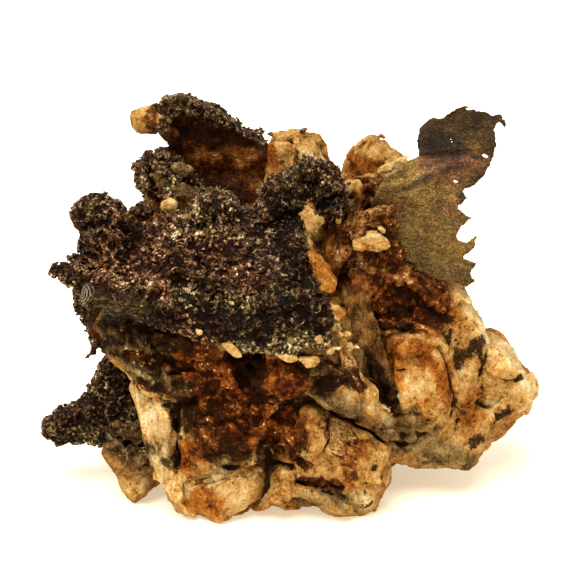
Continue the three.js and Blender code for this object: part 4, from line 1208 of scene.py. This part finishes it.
def crust_material():
    """Dark drusy silver, glowing brown in its hollows and ribbed at the end of its rolled edge, with
    painted shade in its pits and crevices and painted glints on some grains.
    """
    t = Tree("silver_crust")
    rough_places = t.jittered(0.3, 0.25)
    # A tone for each grain, whose brightest grains are painted glints; pits darker and tops lighter, partly
    # dirt and partly painted shade; crevices darker as painted shade.
    tone = t.total(
        -0.26, (t.cell(0.2, "Color", at=rough_places), 0.7), (t.mark("grain"), 0.16),
        (t.wave(2.2, 5, 0.7), 1.0), (t.wave(0.5, 4, 0.75), 0.9),
        (t.mark("black"), -0.22), (t.mark("tan"), 0.2), (t.mark("red"), 0.1),
        (t.ramp(t.mark("hollow"), 0.16, -0.16), 0.32), (t.mark("crevice"), -0.3),
    )
    olive = t.total((t.mark("tan"), 1.0), (t.wave(3.0, 4, 0.7), 1.8), (t.mark("red"), -1.0))
    olive = t.ramp(olive, -0.1, 0.4)
    colour = t.mix(olive, t.shades(tone, CRUST_BROWN), t.shades(tone, CRUST_TAN))
    colour = t.tinted(colour, (1.2, 0.86, 0.68), t.mark("red"))
    # The brown of the cavities is lighter on ridges and darker in pits: painted shade.
    heat = t.total(
        0.2, (t.wave(1.6, 5, 0.7), 1.1), (t.wave(0.5, 4, 0.7), 0.8), (t.mark("ember"), 0.26),
        (t.mark("black"), -0.1), (t.ramp(t.mark("hollow"), 0.2, -0.2), 0.2),
    )
    glow = t.shades(heat, DRUSE)
    inner = t.total(t.mark("cavity"), (t.mark("ember"), 0.4), (t.wave(1.2, 5, 0.7), 0.6))
    colour = t.mix(t.ramp(inner, 0.3, 0.8), colour, glow)
    drawn = t.wave(0.3, 4, 0.7, 0.5, at=t.stretched(0.2, 1.0, 1.0))
    drawn = t.total(0.36, (drawn, 1.5), (t.wave(0.6, 4, 0.7), 0.6))
    bare = t.ramp(t.total(t.mark("roll"), (t.wave(0.8, 5, 0.7), 1.0)), 0.35, 0.9)
    colour = t.mix(bare, colour, t.shades(drawn, CRUST_TAN))
    rings = t.node("VectorMath", {"operation": "DISTANCE"}, i0=t.at, i1=ROLL_END).outputs["Value"]
    lines = t.math("SINE", t.total((rings, 26.0), (t.wave(0.8, 3, 0.6), 6.0)))
    close = t.ramp(t.total(rings, (t.wave(0.6, 3, 0.7), 1.2)), 1.4, 0.9)
    ribs = t.times(t.ramp(lines, 0.1, 0.9), close)
    colour = t.mix(t.times(ribs, 0.4), colour, (0.42, 0.37, 0.26))
    return t.shaded(colour, 0.35, 0.03, t.cell(0.22), 0.00012)


LEAF_OLIVE = (
    (0.0, (0.009, 0.0052, 0.0019)), (0.3, (0.038, 0.0205, 0.0058)), (0.5, (0.10, 0.055, 0.013)),
    (0.75, (0.25, 0.145, 0.036)), (1.0, (0.50, 0.33, 0.11)),
)
LEAF_TINTS = {"copper": (1.12, 0.88, 1.3), "dark": (0.8, 0.9, 1.7), "green": (0.86, 0.98, 1.15)}


def leaf_material():
    """Bare tarnished silver: olive, with fine lines along it, copper and dark patches, and painted shade in
    its creases, hollows and crevices.
    """
    t = Tree("bare_silver")
    lines = t.wave(0.3, 5, 0.7, 1.2, at=t.stretched(0.35, 1.0, 1.0))
    # Darker in hollows and crevices: painted shade, in the hollows partly dirt too.
    tone = t.total(
        0.49, (lines, 1.05), (t.wave(0.2, 3, 0.7), 1.1), (t.wave(2.5, 4, 0.6), 0.7), (t.mark("dark"), -0.3),
        (t.ramp(t.mark("hollow"), 0.0, 0.2), -0.2), (t.mark("crevice"), -0.3),
    )
    colour = t.shades(tone, LEAF_OLIVE)
    for name, tint in LEAF_TINTS.items():
        colour = t.tinted(colour, tint, t.mark(name))
    return t.shaded(colour, 0.45, 0.06, lines, 0.00015, 0.9)


BLADE_TAN = (
    (0.0, (0.005, 0.002, 0.0008)), (0.3, (0.03, 0.012, 0.003)), (0.5, (0.11, 0.048, 0.012)),
    (0.75, (0.25, 0.125, 0.032)), (1.0, (0.46, 0.29, 0.10)),
)


def blade_material():
    """Tan silver with upright streaks, drusy in places, with painted shade round its slot and in its
    hollows and crevices.
    """
    t = Tree("tan_silver")
    streak = t.wave(0.35, 5, 0.7, 0.8, at=t.stretched(1.0, 1.0, 0.2))
    # Darker in hollows, in crevices and round the slot: painted shade.
    tone = t.total(
        0.43, (streak, 0.6), (t.wave(1.6, 5, 0.7), 1.3), (t.wave(0.25, 4, 0.7), 0.9),
        (t.ramp(t.mark("hollow"), 0.0, 0.2), -0.2), (t.mark("crevice"), -0.2), (t.mark("slot"), -0.4),
    )
    flecks = t.flecks(0.42, 0.4, 0.4)
    crystal = t.total(0.42, (t.wave(1.6, 6, 0.75), 1.5), (flecks, 0.35), (t.mark("slot"), -0.4))
    drusy = t.ramp(t.total(t.mark("druse"), (t.wave(0.9, 6, 0.75), 1.6)), 0.3, 0.7)
    colour = t.mix(drusy, t.shades(tone, BLADE_TAN), t.shades(crystal, DRUSE))
    return t.shaded(colour, 0.5, 0.02, streak, 0.0002, 0.9)


# ---------------------------------------------------------------------------------------------------
# Small growths that have no CAD solid of their own
# ---------------------------------------------------------------------------------------------------

# RIM and LOOSE are chips, as in CHIPS; BEADS are places; the others are rods.
RIM = [
    (((-1.4, 21.4), (-0.2, 21.6), (0.9, 21.2), (0.8, 20.8), (0.0, 20.6), (-0.9, 20.9)), -19.5, -18.2),
    (((1.0, 21.0), (2.2, 21.1), (3.2, 21.1), (3.4, 20.8), (2.6, 20.0), (1.9, 19.9)), -19.5, -18.2),
    (((-7.5, 22.8), (-6.6, 23.1), (-5.4, 22.0), (-5.2, 21.3), (-5.9, 21.2), (-6.9, 21.9)), -19.6, -18.4),
    (((-10.4, 24.4), (-9.6, 24.3), (-9.6, 23.8), (-10.2, 23.8)), -19.5, -18.8),
]
LOOSE = [
    (((5.3, 34.1), (5.6, 35.1), (6.1, 34.6), (6.0, 33.9)), -8.5, -7.2),
    (((10.2, 33.5), (10.8, 33.5), (11.2, 33.0), (10.8, 32.8)), -8.7, -7.4),
]
BEADS = [(3.9, -18.3, 22.6), (4.8, -18.0, 21.8), (5.9, -16.9, 22.9), (5.3, -16.7, 24.0), (6.9, -16.7, 21.6)]
ARM_CRYSTALS = [
    (((-13.9, 8.4, 37.3), (-12.9, 8.6, 36.9)), 0.8),
    (((-13.6, 8.0, 34.6), (-12.0, 8.2, 33.9)), 0.9),
    (((-10.0, 8.4, 34.2), (-9.5, 8.6, 34.0)), 0.6),
    (((-16.4, 8.0, 36.2), (-16.0, 8.0, 35.4)), 0.6),
]
DARK_BALLS = [
    (((-3.8, 11.0, 41.5), (-3.6, 11.0, 41.6)), 0.6),
    (((-2.3, 11.0, 41.0), (-2.1, 11.0, 41.1)), 0.5),
    (((1.7, 12.2, 41.3), (2.1, 12.2, 41.3)), 0.6),
]
HOOK = [
    (((-23.4, -3.6, 18.6), (-23.8, -3.8, 17.0)), 0.4),
    (((-23.8, -3.8, 17.0), (-24.4, -3.8, 16.4), (-24.8, -3.8, 16.2)), 0.16),
]


def crystals_at(places, size, count, seed):
    """Short rods, count of them thrown round each place."""
    throws = np.random.default_rng(seed)
    strokes = []
    for place in places:
        for _ in range(count):
            middle = np.array(place) + throws.uniform(-1, 1, 3) * size * (1.8, 1.0, 1.4)
            half = throws.uniform(-1, 1, 3) * size * 0.7
            strokes.append(((middle - half, middle + half), size * throws.uniform(0.5, 1.0)))
    return strokes


def blocky(places, distance):
    """A shape of small crystals with flat sides."""
    return distance + 0.06 * fractal(places, 0.8, 2, seed=76) + facets(places, 0.7, 0.4, seed=77)


# ---------------------------------------------------------------------------------------------------
# Meshes
# ---------------------------------------------------------------------------------------------------

MOST_TRIANGLES = 190000  # in one piece
CRUMB = 60  # a loose bit that has fewer faces is left out
SPARE = 1.2  # the room round a solid's volume for what is added to it
BACKWARD = -0.25  # what faces the front less than this is the back
THINNING = (0.3, 0.7)  # how readily the front and the back are thinned
TOWARDS_FRONT = np.array((0, -math.cos(CAMERA_DROP), math.sin(CAMERA_DROP)), np.float32)
Look = namedtuple("Look", "names marks material slot")  # marks(points) gives what the names name


def mark(piece, name, values):
    """Stores one number for each vertex, for the piece's material to read."""
    attribute = piece.data.attributes.new(name, "FLOAT", "POINT")
    attribute.data.foreach_set("value", np.ascontiguousarray(values, np.float32))


def mesh_object(name, points, faces, slot, replaces=()):
    """A smooth object that rides on the specimen, from points in mm and faces that are rows of points."""
    mesh = bpy.data.meshes.new(name)
    sides = faces.shape[1]
    mesh.vertices.add(len(points))
    mesh.vertices.foreach_set("co", (points * MM).astype(np.float32).ravel())
    mesh.loops.add(faces.size)
    mesh.loops.foreach_set("vertex_index", faces.astype(np.int32).ravel())
    mesh.polygons.add(len(faces))
    mesh.polygons.foreach_set("loop_start", np.arange(0, faces.size, sides, dtype=np.int32))
    mesh.update(calc_edges=True)
    mesh.validate()
    mesh.shade_smooth()
    piece = bpy.data.objects.new(name, mesh)
    bpy.context.scene.collection.objects.link(piece)
    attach(piece, "root")
    if replaces:
        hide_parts(*replaces)
    return piece


def facing_front(piece):
    """How far each vertex faces the front: -1 to 1."""
    normals = np.empty(3 * len(piece.data.vertices), np.float32)
    piece.data.vertex_normals.foreach_get("vector", normals)
    return normals.reshape(-1, 3) @ TOWARDS_FRONT


def decimated(piece, triangles):
    """Thins the mesh to about that many triangles, taking more of them from what faces the back."""
    count = 2 * len(piece.data.polygons)
    if count <= triangles:
        return
    front = facing_front(piece) > BACKWARD
    group = piece.vertex_groups.new(name="back")
    for side, weight in zip((front, ~front), THINNING):
        group.add(np.nonzero(side)[0].tolist(), weight, "REPLACE")
    modifier = piece.modifiers.new("thin", "DECIMATE")
    modifier.ratio = triangles / count
    modifier.vertex_group = group.name
    modifier.vertex_group_factor = 1.0
    bpy.context.view_layer.objects.active = piece
    bpy.ops.object.modifier_apply(modifier=modifier.name)


def without_crumbs(points, quads, hollow):
    """The surface, less the small bits that hang free of it.

    Each point starts as its own root. Points that share an edge hook their roots together until every
    connected bit has one root.
    """
    root = np.arange(len(points))
    links = np.concatenate([quads[:, :2], quads[:, 1:3], quads[:, 2:]])
    while len(links):
        one, other = root[links].T
        apart = one != other
        links = np.stack([np.minimum(one, other)[apart], np.maximum(one, other)[apart]], 1)
        np.minimum.at(root, links[:, 1], links[:, 0])
        while (root[root] != root).any():
            root = root[root]
    own = root[quads[:, 0]]
    quads = quads[np.bincount(own, minlength=len(points))[own] >= CRUMB]
    used = np.zeros(len(points), bool)
    used[quads] = True
    place = np.cumsum(used) - 1
    return points[used], place[quads], hollow[used]


def finished(name, points_quads_hollow, look, replaces=()):
    """The object of a sculpted surface, kept inside the CAD model's box and marked for its material."""
    points, quads, hollow = without_crumbs(*points_quads_hollow)
    low, high = np.array(cad_box) / MM
    points = np.clip(points, low, high).astype(np.float32)
    piece = mesh_object(name, points, quads, look.slot, replaces)
    # hollow is read for dirt and painted shade, crevice for painted shade.
    mark(piece, "hollow", hollow)
    mark(piece, "crevice", crevice(points))
    for tone, values in zip(look.names, in_chunks(look.marks, points).T):
        mark(piece, tone, values)
    piece.data.materials.append(look.material)
    decimated(piece, MOST_TRIANGLES)
    return piece


def sculpted(node, voxel, shape, look, band=1.1, added=()):
    """The object that stands for a CAD node: its solid, worked on by shape within band of its surface."""
    volume, low = node_volume(node, voxel, band)
    volume = blurred(volume, 1)
    if added:
        spare = int(SPARE / voxel)
        volume = np.pad(volume, spare, constant_values=volume.max())
        low = low - spare
    result = carved(volume, low, voxel, shape, band, added)
    return finished(node + "_surface", result, look, [node])


def grown(name, strokes, voxel, shape, look):
    """The object of a small growth, from rods that shape works on."""
    volume, low = rod_volume(strokes, voxel)
    return finished(name, carved(volume, low, voxel, shape, 0.7, strokes), look)


# ---------------------------------------------------------------------------------------------------
# Wires
# ---------------------------------------------------------------------------------------------------

WIRE_STEPS = 9
WIRE_SIDES = 5
WIRE_RADIUS = 0.07
WIRE_TURNS = np.linspace(0, 2 * math.pi, WIRE_SIDES, endpoint=False)


def wired(points):
    """Which points may have wires: the plate's front and top, and the brown mass right of it."""
    x, y, z = points.T
    on_plate = (y < -7.4) & (z > 24) & (x < 6.8)
    on_mass = (x > 5) & (x < 14) & (z > 26) & (z < 38) & (y < -6.4)
    return on_plate | on_mass


def wired_places(pieces):
    """The pieces' vertices that may have wires, in mm, and their normals."""
    found = []
    for piece in pieces:
        mesh = piece.data
        points = np.empty(3 * len(mesh.vertices), np.float32)
        normals = np.empty_like(points)
        mesh.vertices.foreach_get("co", points)
        mesh.vertex_normals.foreach_get("vector", normals)
        points = points.reshape(-1, 3) / MM
        keep = wired(points)
        found.append((points[keep], normals.reshape(-1, 3)[keep]))
    return [np.concatenate(rows) for rows in zip(*found)]


def wire(root, normal, throws):
    """The rings of points round one curled wire, which tapers away from its root."""
    way = normal + throws.normal(0, 0.6, 3)
    way /= np.linalg.norm(way)
    axis = throws.normal(0, 1, 3)
    axis /= np.linalg.norm(axis)
    length, bend = throws.uniform(0.08, 0.2), throws.uniform(0.1, 0.45)
    place = root - 0.15 * normal
    rings = []
    for step in range(WIRE_STEPS):
        side = np.cross(way, axis)
        side /= np.linalg.norm(side)
        up = np.cross(way, side)
        radius = WIRE_RADIUS * (1 - 0.8 * step / (WIRE_STEPS - 1))
        rings += [place + radius * (math.cos(turn) * side + math.sin(turn) * up) for turn in WIRE_TURNS]
        place = place + length * way
        way = way + bend * np.cross(axis, way)
        way /= np.linalg.norm(way)
    return rings


def wire_faces():
    """The triangles of one wire: its sides, and a fan over each end."""
    faces = []
    for step, side in itertools.product(range(WIRE_STEPS - 1), range(WIRE_SIDES)):
        a = step * WIRE_SIDES + side
        b = step * WIRE_SIDES + (side + 1) % WIRE_SIDES
        faces += [(a, b, b + WIRE_SIDES), (a, b + WIRE_SIDES, a + WIRE_SIDES)]
    last = (WIRE_STEPS - 1) * WIRE_SIDES
    for side in range(1, WIRE_SIDES - 1):
        faces += [(0, side + 1, side), (last, last + side, last + side + 1)]
    return np.array(faces, np.int32)


def wires(pieces, count, seed):
    """Fine curled wires that stand on the pieces, as one mesh."""
    points, normals = wired_places(pieces)
    throws = np.random.default_rng(seed)
    roots = throws.choice(len(points), count, replace=False)
    rings = np.array([wire(points[root], normals[root], throws) for root in roots], np.float32)
    faces = np.concatenate([wire_faces() + number * rings.shape[1] for number in range(count)])
    piece = mesh_object("silver_wires", rings.reshape(-1, 3), faces, "silver")
    t = Tree("wire")
    tone = t.shades(t.total(0.5, (t.wave(1.2, 3, 0.7), 2.0)), CRUST_TAN)
    t.set(t.shader, Base_Color=tone, Roughness=0.35)
    t.shader.inputs["Specular IOR Level"].default_value = 0.2
    piece.data.materials.append(t.material)


# ---------------------------------------------------------------------------------------------------
# Camera, light and floor
# ---------------------------------------------------------------------------------------------------

TARGET = Vector((-0.2, -3.45, 25.0)) * MM  # what the camera looks at
CAMERA_DISTANCE = 191.67 * MM


def white_world():
    """White light from all round, and colours shown as they are."""
    world = bpy.data.worlds.new("studio")
    bpy.context.scene.world = world
    world.use_nodes = True
    background = world.node_tree.nodes["Background"]
    background.inputs["Color"].default_value = (1.0, 1.0, 1.0, 1)
    background.inputs["Strength"].default_value = 1.0
    bpy.context.scene.view_settings.view_transform = "Standard"


def pale_floor():
    """A plain cream floor that glows a little, so that it stays pale under the specimen."""
    bpy.ops.mesh.primitive_plane_add(size=8, location=(0, 0, 0))
    floor = bpy.context.object
    floor.name = "floor"
    t = Tree("pale_floor")
    t.set(t.shader, Base_Color=(0.7, 0.62, 0.47), Emission_Color=(1.0, 0.84, 0.6), Emission_Strength=0.55)
    t.set(t.shader, Roughness=0.6)
    floor.data.materials.append(t.material)


def soft_lamp():
    """A broad lamp, above, in front and a little to the left."""
    lamp = bpy.data.lights.new("key", "SUN")
    lamp.energy = 5.2
    lamp.angle = math.radians(40)
    item = bpy.data.objects.new("key", lamp)
    bpy.context.scene.collection.objects.link(item)
    item.rotation_euler = (math.radians(28), math.radians(-10), 0)


def front_camera():
    """The camera, straight in front and a little above."""
    camera = bpy.data.cameras.new("camera")
    camera.lens = 100
    camera.sensor_width = 36
    camera.clip_start = 0.01
    item = bpy.data.objects.new("camera", camera)
    bpy.context.scene.collection.objects.link(item)
    towards = Vector((0, -math.cos(CAMERA_DROP), math.sin(CAMERA_DROP)))
    item.location = TARGET + CAMERA_DISTANCE * towards
    item.rotation_euler = (TARGET - item.location).to_track_quat("-Z", "Y").to_euler()
    bpy.context.scene.camera = item


# ---------------------------------------------------------------------------------------------------
# Building the pieces
# ---------------------------------------------------------------------------------------------------

stained_calcite = calcite_material("stained_calcite", clean=0.0)
clean_calcite = calcite_material("pale_calcite", clean=0.16)
CRUST = Look(CRUST_MARKS, crust_marks, crust_material(), "crust")
ROCK = Look(CALCITE_MARKS, calcite_marks, stained_calcite, "calcite")
SOILED = Look(tuple(SMALL_STAINS), small_marks, stained_calcite, "pale_calcite")
CLEAN = Look(tuple(SMALL_STAINS), small_marks, clean_calcite, "pale_calcite")
LEAF = Look(tuple(LEAF_TONES), leaf_marks, leaf_material(), "silver")
BLADE = Look(tuple(BLADE_TONES), blade_marks, blade_material(), "silver")

# The voxel sizes: as fine as a piece's grain needs and its triangles allow.
CRUST_VOXEL = 0.17
ARM_VOXEL = 0.2
ROCK_VOXEL = 0.21
CHIP_VOXEL = 0.12
TINY_VOXEL = 0.1

plate_shape = crusted(PLATE_ADDED, PLATE_CARVED, 0.8, PLATE_ROLL)
plate = sculpted("crusted_plate", CRUST_VOXEL, plate_shape, CRUST, 1.8, PLATE_ADDED)
sculpted("back_plate", ARM_VOXEL, crusted(ARM_ADDED, smooth=CAVITY), CRUST, 1.4, ARM_ADDED)
sculpted("left_spike", CRUST_VOXEL, crusted(SPIKE_ADDED), CRUST, added=SPIKE_ADDED)
sculpted("left_flap", CRUST_VOXEL, crusted(smooth=CAVITY), CRUST)
rock = sculpted("matrix_rock", ROCK_VOXEL, broken_calcite, ROCK, 1.6, ROCK_ADDED)
sculpted("calcite_tip", CHIP_VOXEL, rounded_tip, SOILED, added=TIP)
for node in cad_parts:
    if node.startswith("calcite_grain"):
        chips = CHIPS.get(node, [])
        sculpted(node, CHIP_VOXEL, chipped(chips, 0.2), CLEAN, added=spans(chips))
leaf = sheet("silver_leaf", 0.42, leaf_bend, leaf_tear)
finished("silver_leaf_surface", leaf, LEAF, ["silver_leaf"])
blade = sheet("silver_blade", 0.9, blade_bend, blade_tear)
finished("silver_blade_surface", blade, BLADE, ["silver_blade"])

grown("flap_hook", HOOK, TINY_VOXEL, blocky, CRUST)
grown("arm_lumps", ARM_LUMPS, CRUST_VOXEL, crusted(), CRUST)
grown("arm_crystals", ARM_CRYSTALS, 0.14, blocky, SOILED)
grown("dark_balls", DARK_BALLS, 0.15, crusted(), CRUST)
grown("rim_crystals", spans(RIM), TINY_VOXEL, chipped(RIM, 0.06), CLEAN)
grown("loose_chips", spans(LOOSE), TINY_VOXEL, chipped(LOOSE, 0.06), CLEAN)
grown("bead_crystals", crystals_at(BEADS, 0.34, 3, seed=5), CHIP_VOXEL, blocky, CLEAN)
wires([plate, rock], count=420, seed=11)

white_world()
pale_floor()
soft_lamp()
front_camera()
